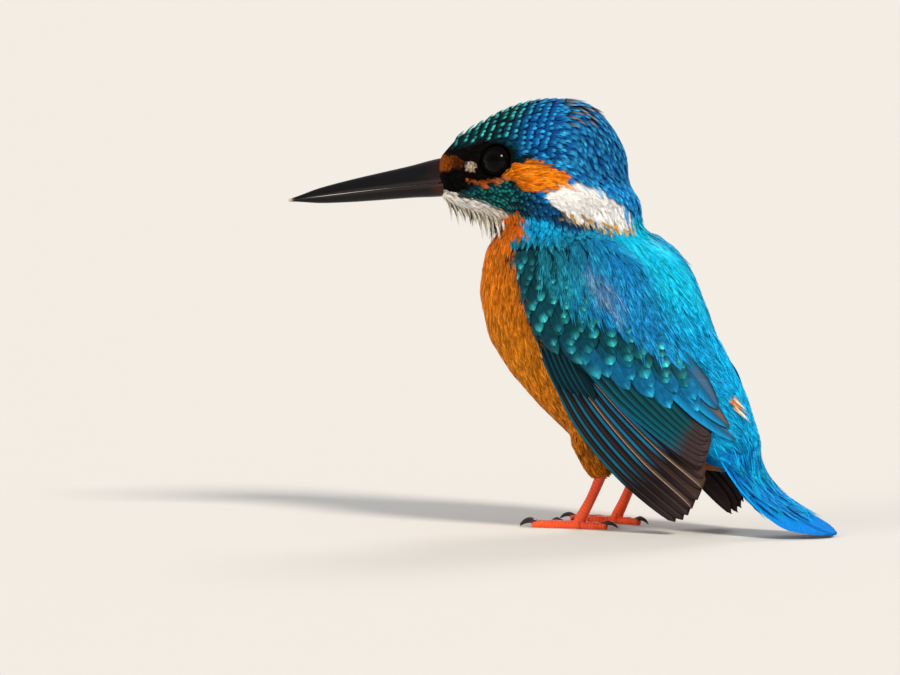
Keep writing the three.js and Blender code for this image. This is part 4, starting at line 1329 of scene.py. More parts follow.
def plan_coat(body, tracts, seed):
    """Roots of the coat by tract, over a body form, and the parts of the head they stand on."""
    rng = np.random.default_rng(seed)
    points, normals = scattered(body.data, root_gap, 5)
    zone = tracts(points)
    keep = (zone > 0) & ~((zone == HEAD) & crown_here(points))
    roots, zone = planted(points[keep], normals[keep]), zone[keep]
    n = len(zone)
    ahead, _, z = to_head(roots.points)
    reach = np.select([(zone == HEAD) & (ahead > 4) & (z > 79), zone == HEAD], [0.9, 2.6], 4.0)
    seen = roots.points + roots.lie * reach[:, None]
    roots.swing = rng.normal(0, 0.12, n)
    vary = rng.uniform(0.88, 1.15, n)
    coloured(roots, rng, seen, zone)
    bars = roots.spot[:, 0] > 0
    ahead, out, z = to_head(seen)
    out = np.abs(out)
    x, y, root_z = roots.points.T

    def sized(size, where):
        width, length, height, loose = FEATHER_SIZES[size]
        roots.width[where], roots.length[where] = width, (length * vary)[where]
        roots.height[where], roots.loose[where] = height, loose

    # The body and the tail's coverts.
    sized("breast", zone == BREAST)
    sized("belly", (zone == BREAST) & (root_z < 20))
    sized("thigh", (zone == BREAST) & (root_z < 14.5))
    sized("mantle", zone == BACK)
    sized("rump", (zone == BACK) & (root_z < 47))
    sized("shoulder", (zone == BACK) & (np.abs(x) > 8) & (y < 0) & (root_z > 64))
    sized("scapular", zone == SCAPULAR)
    sized("tail_over", zone == TAIL_OVER)
    sized("tail_under", zone == TAIL_UNDER)
    sized("flank", zone == FLANK)
    streaky = zone == TAIL_OVER
    roots.tint[streaky] = linear("#0670c0")
    roots.tip[streaky] = blend("#0a7cd0", "#14deff",
                               rng.random(n) ** 0.8 * (0.7 + 0.3 * ramp(root_z, 14, 26)))[streaky]

    # The barred nape and cheek, each feather duller or brighter than its neighbours.
    head = zone == HEAD
    sized("head", head)
    nape = head & bars & ((ahead < -3) | (z > 88)) & ~((z < 81) & (ahead > -9))
    sized("nape", nape)
    roots.spot[nape] = (0.46, 0.46)
    roots.tint[nape] *= 0.75
    roots.tip[nape] = blend(roots.tip, "#48ccff", rng.uniform(0, 0.6, n))[nape]
    cheek = head & bars & ~nape
    sized("cheek", cheek)
    roots.spot[cheek] = (0.36, 0.34)
    dull = rng.uniform(0, 0.75, n)
    roots.tip[cheek] = blend(roots.tip, roots.tint, dull)[cheek]
    roots.tip[nape] = blend(roots.tip, roots.tint, dull * 0.45)[nape]
    crest = nape & (z > 93) & (ahead < 0) & (ahead > -15)
    worn = crest & (z > 94.3) & (rng.random(n) < 0.34)
    roots.tint[worn], roots.tip[worn] = linear("#1c2830"), linear("#909cac")
    roots.spot[worn] = 0
    sized("worn_crest", worn)

    # The ear, the white patch and the buff wisps round it, the throat and the face.
    ear = head & (inside(EAR_PATCH, ahead, z) > -0.1) & (out > 4)
    sized("ear", ear)
    sized("ear_front", ear & (ahead > 2.5))
    white_at = inside(WHITE_PATCH, ahead, z)
    white = head & (white_at > -0.4) & (out > 6)
    sized("white", white)
    wisp = head & ~white & (white_at > -2.6) & (out > 6) & (z < 73.6) & (ahead < -7)
    sized("wisp", wisp)
    roots.length[wisp] *= rng.uniform(0.6, 1.2, n)[wisp]
    roots.swing[wisp] = rng.normal(0, 0.3, n)[wisp]
    roots.spot[wisp] = 0
    nape, cheek = nape & ~wisp, cheek & ~wisp
    throat = head & (inside(THROAT, ahead, z) > -0.2) & (ahead > 3.5)
    sized("throat", throat)
    face = head & (inside(MASK, ahead, z) > -0.2) & ~throat & ~ear
    sized("face", face)
    lore = face & (inside(LORE, ahead, z) > -0.2)
    dim = np.where(rng.random(n) < 0.3, 0.25, rng.uniform(0.6, 1.25, n))[:, None]
    roots.tip[lore] = (roots.tip * dim)[lore]
    roots.spot[face] = 0
    pale = white | throat
    # Painted shade: pale feathers keep only a faint shade at the root.
    roots.tint[pale] = roots.tip[pale] * 0.95

    # A few ends stand off the body, most of all on the nape and the crest.
    stray = rng.exponential(0.05, n).clip(0, 0.35)
    downy = np.isin(zone, (BREAST, BACK, SCAPULAR)) | nape
    roots.loose[downy] += stray[downy]
    roots.loose[nape] += stray[nape]
    roots.loose[crest] += 0.22
    clear_eye(roots, head)
    keep = roots.length > 0.5
    own_kind = ~face & ~throat & ~ear & ~white
    parts = {"ear": ear, "white": white, "wisp": wisp, "throat": throat, "nape": nape & own_kind,
             "cheek": cheek & own_kind}
    return roots.only(keep), zone[keep], {key: where[keep] for key, where in parts.items()}


def clear_eye(roots, head):
    """Shortens the feathers that would lie over the eye's opening, and drops those that still do."""
    for share, clear, factor in ((0.35, 3.1, 0.55), (0.7, 3.1, 0.55), (1.0, 3.1, 0.55), (1.0, 2.9, 0)):
        ahead, out, z = to_head(roots.points + roots.lie * (roots.length * share)[:, None])
        roots.length[head & (eye_distance(ahead, z) < clear) & (np.abs(out) > 6)] *= factor


def body_tree(body):
    return BVHTree.FromPolygons([Vector(p) for p in to_bird(points_of(body.data))],
                                [list(p.vertices) for p in body.data.polygons])


FORM_TREE, LOW_TREE = body_tree(form), body_tree(low_form)


def nearest(tree, places):
    """The places of a surface nearest to others, and the normals there."""
    found = [tree.find_nearest(Vector(p)) for p in places]
    return np.array([f[0] for f in found]), np.array([f[1] for f in found])


def throat_tufts():
    """Long pointed tufts that hang from the chin and the sides of the throat."""
    rng = np.random.default_rng(41)
    rows = [(22.5 - 16.5 * share, side * (1.2 + 4.0 * share), 76.0 - 4.6 * share)
            for side in (-1, 1) for share in np.arange(17) / 16]
    rows += [(20.5 - 2.2 * k, 0.0, 75.0 - 0.6 * k) for k in range(7)]
    points, normals = nearest(FORM_TREE, from_head(*np.array(rows).T))
    n = len(points)
    lie = unit(-UP - 0.35 * HEAD_FRONT + 0.12 * rng.standard_normal((n, 3)))
    roots = Roots(points - normals * 0.4, square_to(normals, lie), lie)
    return roots.set(width=2.1, length=6.8 * rng.uniform(0.6, 1.3, n), height=0.5, loose=0.9,
                     tint=CHIN_CREAM, tip="#fffdf4", chart=head_chart(points))


def flank_fringe(side):
    """Loose breast feathers whose ends stray over the leading edge of the folded wing."""
    rng = np.random.default_rng(51 if side > 0 else 52)
    n = 200
    down = np.linspace(0.02, 0.46, n) + rng.uniform(-0.004, 0.004, n)
    across = rng.uniform(-0.05, -0.01, n)
    height = rng.uniform(-2.3, 1.1, n) + 0.3 * ramp(down, 0.1, 0.3) - 1.1 * ramp(down, 0.34, 0.42)
    places = wing_point(down, across, height)
    along = unit(wing_point(down + 0.02, across, height) - places)
    over = unit(wing_point(down, across + 0.03, height) - places)
    out = unit(wing_point(down, across, height + 1.0) - places)
    lie = unit(along + over * rng.uniform(0.1, 0.6, (n, 1)) + out * rng.uniform(0.0, 0.25, (n, 1)))
    places, lie = places * [side, 1, 1], lie * [side, 1, 1]
    points, normals = nearest(FORM_TREE, places)
    base, light = orange_body(points)
    # Painted shade: each loose feather is darker at its root.
    return Roots(points, square_to(normals, lie), lie).set(
        width=rng.uniform(0.9, 1.7, n),
        length=rng.uniform(4.5, 8.5, n) * ramp(down, 0.60, 0.3).clip(0.45, 1),
        height=0.5, loose=rng.uniform(0.3, 1.0, n), tint=base * 0.8,
        tip=blend(base, light, rng.uniform(0, 0.8, n)) * rng.uniform(0.75, 1.15, (n, 1)),
        chart=spine_chart(points))


def crown_rows():
    """Rows of barred feathers across the front of the crown, from the brow over the top."""
    rng = np.random.default_rng(23)
    lean = unit(UP - 0.22 * HEAD_FRONT)
    arcs = []
    for row, start in enumerate(np.arange(19.6, -5.2, -1.95)):
        origin = Vector(from_head(start + 0.9, 0, 84))
        arc = []
        for side in np.radians(np.arange(-112, 112.1, 2)):
            way = Vector(math.cos(side) * lean + math.sin(side) * HEAD_LEFT)
            hit, normal, _, _ = FORM_TREE.ray_cast(origin, way, 40)
            if hit:
                arc.append((*hit, *normal))
        arc = np.array(arc)
        length = run_length(arc[:, :3])
        gap = 1.05 + 0.02 * row
        at = np.arange((row % 2) * gap / 2, length[-1], gap)
        at = at + rng.uniform(-0.16, 0.16, len(at))
        arcs.append(np.stack([np.interp(at, length, arc[:, k]) for k in range(6)], 1))
    arcs = np.concatenate(arcs)
    roots = planted(arcs[:, :3], unit(arcs[:, 3:]))
    roots = roots.only(crown_here(roots.points))
    n = len(roots.points)
    coloured(roots, rng, roots.points + roots.lie * 2.2, np.full(n, HEAD))
    dull = rng.uniform(0, 0.75, n)
    tint = roots.tint * 0.7
    return roots.set(spot=(0.44, 0.36), tint=tint, tip=blend(roots.tip, tint, dull) * 1.3, width=1.35,
                     length=3.3 * rng.uniform(0.88, 1.1, n), height=0.8, swing=rng.normal(0, 0.12, n),
                     chart=head_chart(roots.points))


LEADING_STRIP = 0.05  # so far across the wing its coverts are dark and plain


def covert_rows(side):
    """Rows of wing coverts, each feather laid from the wing's surface places."""
    rng = np.random.default_rng(31 if side > 0 else 32)
    # Where each row's tips start at the leading edge, its slope and step, and its feathers'
    # length and width; every other row starts half a step further in.
    rows = [(base, 0.42, 0.068 + 0.003 * row, 5.0 + 0.3 * row, 2.6 + 0.14 * row, row % 2)
            for row, base in enumerate(np.arange(0.0, 0.30, 0.036))]
    rows += [(0.33, 0.42, 0.098, 8.6, 3.7, 1), (0.385, 0.43, 0.115, 11.5, 4.6, 0)]
    feathers = []
    for base, slope, step, length, width, odd in rows:
        across = np.arange(0.03 + odd * step / 2, 0.95, step)
        across = across + rng.uniform(-0.012, 0.012, len(across))
        tip = base + slope * across + rng.uniform(-0.006, 0.006, len(across))
        keep = across < scapular_edge(tip) + 0.16
        for a, d in zip(across[keep], tip[keep]):
            feathers.append((d, a, width, length * rng.uniform(0.94, 1.06), base))
    tip_d, tip_a, width, length, row_base = np.array(feathers).T
    n = len(tip_d)
    root_d, root_a = np.maximum(tip_d - length / WING_LENGTH, 0.005), tip_a - 0.012
    height = wing_top(root_d, root_a)
    points = wing_point(root_d, root_a, height)
    ends = wing_point(np.minimum(tip_d, 1), tip_a, height)
    normals = unit(wing_point(root_d, root_a, height + 1) - points)
    lie = square_to(unit(ends - points), normals)
    roots = Roots(*(v * [side, 1, 1] for v in (points, normals, lie)))
    roots.set(width=width, length=length, height=0.85, swing=rng.normal(0, 0.07, n))
    own = own_shade(rng, n, 0.1, 0.7, 1.3)
    late = ramp(row_base, 0.25, 0.36) * ramp(tip_a, 0.15, 0.6)
    tint = blend(COVERT_DARK, "#0b5f8c", 0.9 * late) * own
    dull = (rng.uniform(0.2, 1.05, n) + 0.1 * late).clip(0, 0.95)
    tip = blend(blend(COVERT_SPOT, "#28b0dc", 0.8 * late), tint, dull) * own
    spotted = (tip_a > LEADING_STRIP)[:, None]
    spot = np.stack([0.36 + 0.08 * late, 0.19 - 0.05 * late], 1) * rng.uniform(0.7, 1.2, (n, 1))
    return roots.set(tint=tint, tip=np.where(spotted, tip, tint), spot=spot * spotted,
                     chart=wing_chart(root_d, root_a))


def edge_coverts(side):
    """Small dark coverts over the leading edge of the folded wing, seen from in front."""
    rng = np.random.default_rng(71 if side > 0 else 72)
    rows = 5
    down, row = (v.ravel() for v in np.meshgrid(np.arange(0.02, 0.47, 0.024), np.arange(rows)))
    n = len(down)
    down = down + 0.012 * (row % 2) + rng.uniform(-0.004, 0.004, n)
    height = blend(-1.3, wing_top(down, 0.05), row / (rows - 1))
    places = wing_point(down, -0.02, height)
    along = unit(wing_point(down + 0.02, -0.02, height) - places) * [side, 1, 1]
    points, normals = nearest(FORM_TREE, places * [side, 1, 1])
    roots = Roots(points, normals, square_to(along, normals))
    roots.set(width=2.3, length=4.6 * rng.uniform(0.85, 1.15, n), height=0.5, swing=rng.normal(0, 0.15, n))
    own = own_shade(rng, n, 0.12, 0.6, 1.4)
    return roots.set(tint=linear("#052830") * own,
                     tip=blend("#084a56", "#1a8090", rng.uniform(0, 0.7, n)) * own,
                     chart=wing_chart(down, row * 0.04))


CREAM_TUFT = [  # root and end of each feather, in the bird's coordinates
    (2.6, 34.6, 34.6, 1.2, 39.6, 28.0),
    (2.2, 35.0, 33.6, 1.0, 40.0, 26.6),
    (3.0, 35.0, 32.6, 1.6, 39.8, 25.8),
    (3.4, 34.6, 33.4, 2.2, 39.0, 28.0),
    (2.6, 35.2, 32.0, 1.4, 40.2, 25.0),
]


def cream_tuft():
    """A few worn, cream-coloured feathers that stick out of the rump beside the left tertials."""
    marks = np.array(CREAM_TUFT)
    starts, out = nearest(LOW_TREE, marks[:, :3])
    ends, end_out = nearest(LOW_TREE, marks[:, 3:])
    starts, ends = starts + 0.6 * out, ends + 2.6 * end_out
    lie = unit(ends - starts)
    roots = Roots(starts, square_to(out, lie), lie)
    roots.set(width=[2.0, 2.2, 2.0, 1.8, 1.7], length=np.linalg.norm(ends - starts, axis=1), height=0.4,
              loose=1.0, tint="#c9762c", tip="#fdf0d2", chart=spine_chart(starts))
    roots.tip[3] = linear("#d98a3c")
    return roots


coat, zone, part = plan_coat(form, zones, 11)
on_head = zone == HEAD
coat.chart = np.where(on_head[:, None], head_chart(coat.points), spine_chart(coat.points))
left = coat.points[:, 0] > 0
plain_head = on_head & ~np.any([part[key] for key in ("nape", "cheek", "throat", "ear", "white", "wisp")], 0)
ears = (part["ear"] | part["wisp"]) & ~part["white"]
throat = coat.only(part["throat"]).joined(throat_tufts())

grow("crown_feathers", "spotted", crown_rows(), SOFT_PLUMAGE, "plumage_blue", 3)
grow("nape_feathers", "hairy", coat.only(part["nape"]), SOFT_PLUMAGE, "plumage_blue", 4)
grow("cheek_stripe_feathers", "spotted", coat.only(part["cheek"]), SOFT_PLUMAGE, "plumage_blue", 14)
grow("face_feathers", "small", coat.only(plain_head), FACE_PLUMAGE, "plumage_blue", 5)
grow("ear_feathers", "silky", coat.only(ears), SILKY_PLUMAGE, "plumage_orange", 6)
grow("white_neck_feathers", "silky", coat.only(part["white"]), WHITE_PLUMAGE, "plumage_orange", 15)
grow("throat_feathers", "plume", throat, WHITE_PLUMAGE, "plumage_orange", 7)
for label, sign in SIDES.items():
    half = left if sign > 0 else ~left
    breast, scapulars = coat.only(half & (zone == BREAST)), coat.only(half & (zone == SCAPULAR))
    scapulars.chart = wing_chart(*wing_place(scapulars.points)[:2])
    grow(f"breast_feathers_{label}", "body", breast, BREAST_PLUMAGE, "plumage_orange", 8)
    grow(f"flank_fringe_{label}", "plume", flank_fringe(sign), BREAST_PLUMAGE, "plumage_orange", 18)
    grow(f"scapular_feathers_{label}", "silky", scapulars, SILKY_PLUMAGE, "plumage_blue", 9)
    grow(f"covert_feathers_{label}", "covert", covert_rows(sign), COVERT_PLUMAGE, "plumage_teal", 10,
         replaces=(f"wing_{label}_coverts",))
    grow(f"edge_covert_feathers_{label}", "body", edge_coverts(sign), SOFT_PLUMAGE, "plumage_teal", 21)
grow("mantle_feathers", "silky", coat.only(zone == BACK), SILKY_PLUMAGE, "plumage_blue", 11)

low_coat, low_zone, _ = plan_coat(low_form, low_zones, 12)
low_coat.chart = spine_chart(low_coat.points)
belly = low_coat.only(np.isin(low_zone, (BREAST, TAIL_UNDER)))
rump = low_coat.only(low_zone == BACK).joined(cream_tuft())
tail_coverts = low_coat.only(low_zone == TAIL_OVER)
grow("belly_feathers", "body", belly, BREAST_PLUMAGE, "plumage_orange", 19, body=low_form)
for label, sign in SIDES.items():
    flank = low_coat.only((low_coat.points[:, 0] * sign > 0) & (low_zone == FLANK))
    grow(f"flank_feathers_{label}", "body", flank, BREAST_PLUMAGE, "plumage_orange", 22, body=low_form)
grow("rump_feathers", "silky", rump, SILKY_PLUMAGE, "plumage_blue", 20, body=low_form)
grow("tail_covert_feathers", "silky", tail_coverts, SILKY_PLUMAGE, "plumage_blue", 12, body=low_form)


# ------------------------------------------------------------------ flight and tail feathers


BLADE_ACROSS = np.array([-1, -0.86, -0.6, -0.3, -0.07, 0, 0.05, 0.3, 0.6, 0.88, 1])
BLADE_THICK = 0.14


def blade(shaft, side, outer, inner, surface, lift, tilt):
    """One flight feather: a closed, cambered vane round its shaft.

    shaft is its middle line, side points to its outer edge, and outer and inner are its two
    half widths. surface moves a point down onto what it lies on and gives the way out there.
    Returns points, faces, and each point's share along and across, -1 at the outer edge.
    """
    across = BLADE_ACROSS
    ridge = np.where(across == 0, 0.1, 0.0)
    n, m = len(shaft), len(across)
    wide = np.where(across < 0, outer[:, None], inner[:, None]) * -across
    flat = shaft[:, None] + side[:, None] * wide[..., None]
    base, up = (v.reshape(n, m, 3) for v in surface(flat.reshape(-1, 3)))
    rise = lift[:, None] - tilt * across * 0.5 + 0.18 * (1 - across ** 2) + ridge
    body = BLADE_THICK * (1 - 0.55 * across ** 2) * np.clip(outer + inner, 0.4, 4)[:, None] / 4
    top = base + up * rise[..., None]
    low = top - up * np.maximum(body, 0.05)[..., None]
    points = np.concatenate([top.reshape(-1, 3), low.reshape(-1, 3)])
    along = np.repeat(np.linspace(0, 1, n), m)
    where = np.stack([np.tile(along, 2), np.tile(across, 2 * n)], 1)
    return points, slab_faces(n, m), where


def outline(t, width, root, tip_start, point):
    """Half width of a vane along its length: narrow at the root, rounded off at the tip."""
    grown = root + (1 - root) * ramp(t, 0.0, 0.35)
    late = np.clip((t - tip_start) / (1 - tip_start), 0, 1)
    return width * grown * np.maximum(1 - late ** point, 0.0) ** (1 / point) + 0.03


def onto_wing(points):
    """The wing's surface under points, and the way out of it."""
    base, _ = nearest(WING_TREE, points)
    down, across, _, _ = wing_place(base)
    return base, wing_out(down, across)


class Blades:
    """Several flight feathers of one piece, with their colours and map."""

    def __init__(self):
        self.shapes, self.tint, self.barbs, self.places = [], [], [], []

    def add(self, blade_parts, colour, length, half):
        """Adds a feather; colour gives its tint by place, length and half are its vane's sizes."""
        points, faces, where = blade_parts
        along, across = where.T
        slant = along * length - np.abs(across) * half * 1.2
        apart = np.full(len(along), len(self.shapes) * 7.0)
        self.barbs.append(np.stack([slant / 0.45, across * half / 3.0, apart], 1))
        self.shapes.append((points, faces))
        self.tint.append(colour(along, across))
        self.places.append((along, across))

    def chart(self):
        """A map with a cell for each side of each feather."""
        cells = len(self.places) * 2
        columns = math.ceil(math.sqrt(cells))
        rows = math.ceil(cells / columns)
        chart = []
        for number, (along, across) in enumerate(self.places):
            cell = number * 2 + (np.arange(len(along)) >= len(along) // 2)
            u = (cell % columns + 0.08 + 0.84 * (across + 1) / 2) / columns
            v = (cell // columns + 0.06 + 0.88 * along) / rows
            chart.append(np.stack([u, v], 1))
        return np.concatenate(chart)

    def build(self, name, slot, replaces, mirror=False, made_of=VANE):
        points, faces = joined(self.shapes)
        if mirror:
            points, faces = points * [-1, 1, 1], faces[:, ::-1]
        mesh = make_mesh(name, points, faces)
        put(mesh, "barbs", "FLOAT_VECTOR", np.concatenate(self.barbs))
        corner = read(mesh.loops, "vertex_index", 1, np.int32)[:, 0]
        layer = mesh.uv_layers.new(name="OFBake")
        layer.data.foreach_set("uv", self.chart()[corner].astype(np.float32).ravel())
        keep_piece(name, mesh, slot, replaces, made_of, np.concatenate(self.tint))


def wing_blade(path, outer, inner, level, tilt, tip_start=0.8, point=2.2):
    """A feather on the left wing through places (down, across), and its length.

    outer and inner are its vane's half widths; level and tilt say how high it lies and how
    much it leans over its neighbour.
    """
    t = np.linspace(0, 1, 34)
    d, a = bezier_through(path, t).T
    shaft = wing_point(d, a, 0.0)
    side = np.cross(unit(np.gradient(shaft, axis=0)), unit(wing_out(d, a)))
    lead = wing_point(d, a - 0.02, 0.0) - shaft
    side = side * np.sign((side * lead).sum(1, keepdims=True))
    outer, inner = (outline(t, width, 0.3, tip_start, point) for width in (outer, inner))
    parts = blade(shaft, side, outer, inner, onto_wing, layer_bottom(level, d, a) + 0.12, tilt)
    return parts, run_length(shaft)[-1]


def bezier_through(path, t):
    """A curve from the first place through the second at its middle to the third."""
    a, m, c = (np.array(p, float) for p in path)
    return bezier((a, 2 * m - (a + c) / 2, c), t)[0]


PRIMARIES = [  # root, middle and tip as (down, across) of the wing; outermost first
    ((0.42, 0.02), (0.71, 0.050), (0.975, -0.045)),
    ((0.42, 0.05), (0.71, 0.110), (0.992, 0.010)),
    ((0.42, 0.09), (0.71, 0.175), (1.000, 0.075)),
    ((0.43, 0.13), (0.71, 0.250), (1.000, 0.150)),
    ((0.43, 0.18), (0.71, 0.320), (1.000, 0.250)),
    ((0.44, 0.23), (0.71, 0.385), (0.990, 0.365)),
    ((0.45, 0.28), (0.71, 0.440), (0.970, 0.455)),
]
SECONDARIES = [
    ((0.43, 0.26), (0.70, 0.475), (0.950, 0.540)),
    ((0.43, 0.33), (0.70, 0.515), (0.940, 0.585)),
    ((0.43, 0.40), (0.70, 0.555), (0.930, 0.630)),
    ((0.44, 0.47), (0.70, 0.600), (0.920, 0.670)),
    ((0.44, 0.54), (0.70, 0.645), (0.910, 0.710)),
    ((0.45, 0.61), (0.70, 0.690), (0.900, 0.750)),
    ((0.46, 0.67), (0.70, 0.735), (0.893, 0.785)),
]
TERTIALS = [
    ((0.48, 0.70), (0.74, 0.830), (0.995, 0.930)),
    ((0.48, 0.80), (0.70, 0.890), (0.925, 0.960)),
    ((0.46, 0.88), (0.64, 0.940), (0.830, 0.980)),
]
PRIMARY_COVERTS = [((0.34 + 0.008 * k, 0.055 + 0.034 * k), (0.43 + 0.01 * k, 0.06 + 0.036 * k),
                    (0.515 + 0.014 * k, 0.06 + 0.04 * k)) for k in range(6)]
# Painted highlight: two primaries' shafts are painted pale where they catch the light; the others get only a
# trace of tan.
HIGHLIGHTED_SHAFTS = (3, 5)  # primaries whose shafts catch the light

# The colours of a feather are functions of t along it and u across it, -1 at its outer edge.


def primary_colour(number):
    """Near black, edged with teal; paler and browner inside on the inner ones; a pale shaft on two of them is
    a painted highlight.
    """
    teal = blend(FLIGHT_TEAL, FLIGHT_BLUE, number / 6)
    return lambda t, u: layered(
        "#1a1416",
        ("#4a3026", ramp(u, -0.1, 0.3) * 0.7 * ramp(number, 3, 5) * ramp(t, 0.5, 0.8)),
        (teal, ramp(u, -0.38, -0.6) * ramp(u, -1.0, -0.9) * ramp(t, 0.80, 0.62)),
        ("#3a2e2c", ramp(t, 0.8, 0.95) * 0.4),
        # The shaft: a faint tan, and on two primaries a painted highlight.
        (SHAFT_TAN_AND_HIGHLIGHT, ramp(np.abs(u), 0.06, 0.02) * (0.85 if number in HIGHLIGHTED_SHAFTS else 0.08)))


def secondary_colour(number):
    """Dark teal outside and brown inside, worn to brown at the tip."""
    return lambda t, u: layered(
        "#062c34",
        ("#09444c", ramp(u, -0.2, -0.6)),
        ("#0a5c78", ramp(u, -0.6, -0.9) * ramp(number, 4, 0) * 0.8),
        (FLIGHT_BROWN, ramp(u, -0.1, 0.4)),
        ("#33282a", ramp(t + 0.05 * u, 0.70, 0.84)),
        ("#5a463c", ramp(t, 0.985, 1.0) * 0.35))


def tertial_colour(number, sign):
    """Blue with a worn brown stripe; darker at the inner edge on the left wing. On the right wing the inner
    web and tip are painted pale, painted light where they lie in shade.
    """
    # Painted light: the right wing's inner web and tip are painted bright blue and pale, as if lit, where
    # they lie in shade against the back.
    inner, edge_share, tip = ("#0a5478", 0.8, "#0f3c50") if sign > 0 else ("#1c98d4", 0.0, "#6fa2cc")
    stripe = 0.95 if number == 1 else 0.3
    return lambda t, u: layered(
        "#0a5c84",
        ("#1288c0", ramp(u, -0.3, -0.95) * 0.9),
        (inner, ramp(u, 0.1, 0.9)),
        ("#5c4a40", ramp(u, -0.15, 0.25) * ramp(u, 1.0, 0.75) * ramp(t, 0.35, 0.55)
         * ramp(t, 1.0, 0.94) * stripe),
        ("#0a161e", ramp(u, 0.72, 0.95) * ramp(t, 0.2, 0.5) * edge_share),
        ("#081c28", ramp(np.abs(u), 0.07, 0.02) * 0.6),
        (tip, ramp(t, 0.9, 1.0) * 0.7))


def primary_covert_colour(t, u):
    return blend("#061e24", "#0a4858", ramp(u, -0.3, -0.9) * 0.9)


def tail_colour(t, u):
    """Blue, brighter at the outer edge near the root, with a dark shaft."""
    return layered(
        TAIL_BLUE,
        ("#04407e", ramp(u, -0.1, 0.9) * 0.9),
        (MANTLE_CYAN, ramp(u, -0.5, -0.95) * 0.5 * ramp(t, 1.0, 0.5)),
        ("#0a1c34", ramp(np.abs(u), 0.07, 0.02) * 0.7))


def flight_feathers():
    for label, sign in SIDES.items():
        outer = Blades()
        for k, path in enumerate(PRIMARIES):
            parts, length = wing_blade(path, 1.15, 3.6, 0, 0.6, tip_start=0.84)
            outer.add(parts, primary_colour(k), length, 3.0)
        for path in PRIMARY_COVERTS:
            parts, length = wing_blade(path, 0.8, 1.5, 0.8, 0.4, tip_start=0.6)
            outer.add(parts, primary_covert_colour, length, 2.0)
        outer.build(f"primary_feathers_{label}", "plumage_brown", (f"wing_{label}_primaries",), sign < 0)
        inner = Blades()
        rng = np.random.default_rng(61)
        for k, (root, middle, tip) in enumerate(SECONDARIES):
            path = (root, middle, np.array(tip) + rng.uniform(-0.008, 0.008, 2))
            parts, length = wing_blade(path, 1.3, 4.0, 1, 0.8, tip_start=0.84)
            inner.add(parts, secondary_colour(k), length, 3.0)
        for k, path in enumerate(TERTIALS):
            parts, length = wing_blade(path, 2.1, 2.5, 1.3 + 0.2 * k, 0.6, tip_start=0.55, point=1.7)
            inner.add(parts, tertial_colour(k, sign), length, 2.6)
        inner.build(f"secondary_feathers_{label}", "plumage_teal", (f"wing_{label}_secondaries",), sign < 0)


def tail_surface(points):
    """The tail's middle surface under points, and the way out of its top."""
    place, run = bezier(TAIL_PATH, np.linspace(0, 1, 121))
    off = points[:, None, 1:3] - place[None]
    near = np.argmin(np.linalg.norm(off, axis=-1), axis=1)
    base = points.copy()
    base[:, 1:3] = place[near]
    return base, np.stack([np.zeros(len(points)), -run[near, 1], run[near, 0]], 1)


def tail_feathers():
    """The tail, a narrow fan; each feather lies a little under its inner neighbour."""
    fan = Blades()
    rows = 40
    t = np.linspace(0, 1, rows)
    width = outline(t, 2.3, 0.5, 0.86, 2.0)
    middle = (TAIL_FEATHERS - 1) / 2
    for k in range(TAIL_FEATHERS):
        f = (k - middle) / middle
        sign = 1 if f > 0 else -1
        share = t * (1 - 0.14 * f * f)
        place, _ = bezier(TAIL_PATH, share)
        half = blend(TAIL_ROOT_HALF - 1.5, TAIL_TIP_HALF - 2.6, share)
        shaft = np.stack([f * half, place[:, 0], place[:, 1]], 1)
        side = np.tile([float(sign), 0, 0], (rows, 1))
        lift = np.full(rows, 0.38 - 0.5 * abs(f)) + 0.1 * ramp(t, 0.6, 0)
        points, faces, where = blade(shaft, side, width, width * 1.15, tail_surface, lift, 0.34)
        fan.add((points, faces[:, ::sign], where), tail_colour, 44.0, 2.3)
    fan.build("tail_feathers", "plumage_blue", ("tail",), made_of=TAIL_VANE)


# ------------------------------------------------------------------ bill


def horn_material():
    """Bill horn (rhamphotheca): hard, glossy and black, with a paler worn tip."""
    made, tree = material("bill_horn_glossy")
    tint = add(tree, "Attribute", {"attribute_name": "tint"})
    grain = add(tree, "Attribute", {"attribute_name": "grain"})
    streak = add(tree, "TexNoise", {"Scale": 1.0, "Detail": 4.0}, {"Vector": grain.outputs["Vector"]})
    rough = add(tree, "MapRange", {"From Min": 0.3, "From Max": 0.7, "To Min": 0.22, "To Max": 0.42},
                {"Value": streak.outputs["Fac"]})
    bump = add(tree, "Bump", {"Strength": 0.35, "Distance": 0.0002}, {"Height": streak.outputs["Fac"]})
    shader = add(tree, "BsdfPrincipled", {"IOR": 1.5, "Specular IOR Level": 0.22},
                 {"Base Color": tint.outputs["Color"], "Roughness": rough, "Normal": bump})
    add(tree, "OutputMaterial", links={"Surface": shader})
    return made


HORN = horn_material()


def ring_faces(rings, sides, closed):
    """Quads between rings of points, and where closed from the last ring to the first."""
    i, j = np.meshgrid(np.arange(rings if closed else rings - 1), np.arange(sides), indexing="ij")
    here, there = i * sides, (i + 1) % rings * sides
    follow = (j + 1) % sides
    return np.stack([v.ravel() for v in (here + j, here + follow, there + follow, there + j)], 1)


def tube_faces(rings, sides, flip):
    """Triangles of a tube of rings, closed at its start and its end by a point more for each."""
    count, last, j = rings * sides, (rings - 1) * sides, np.arange(sides)
    follow = (j + 1) % sides
    faces = np.concatenate([halved(ring_faces(rings, sides, False)),
                            np.stack([np.full(sides, count), follow, j], 1),
                            np.stack([np.full(sides, count + 1), last + j, last + follow], 1)])
    return faces[:, ::-1] if flip else faces


BILL_RINGS, BILL_SIDES = 72, 28
BILL_TIP_PALE = "#c9b892"


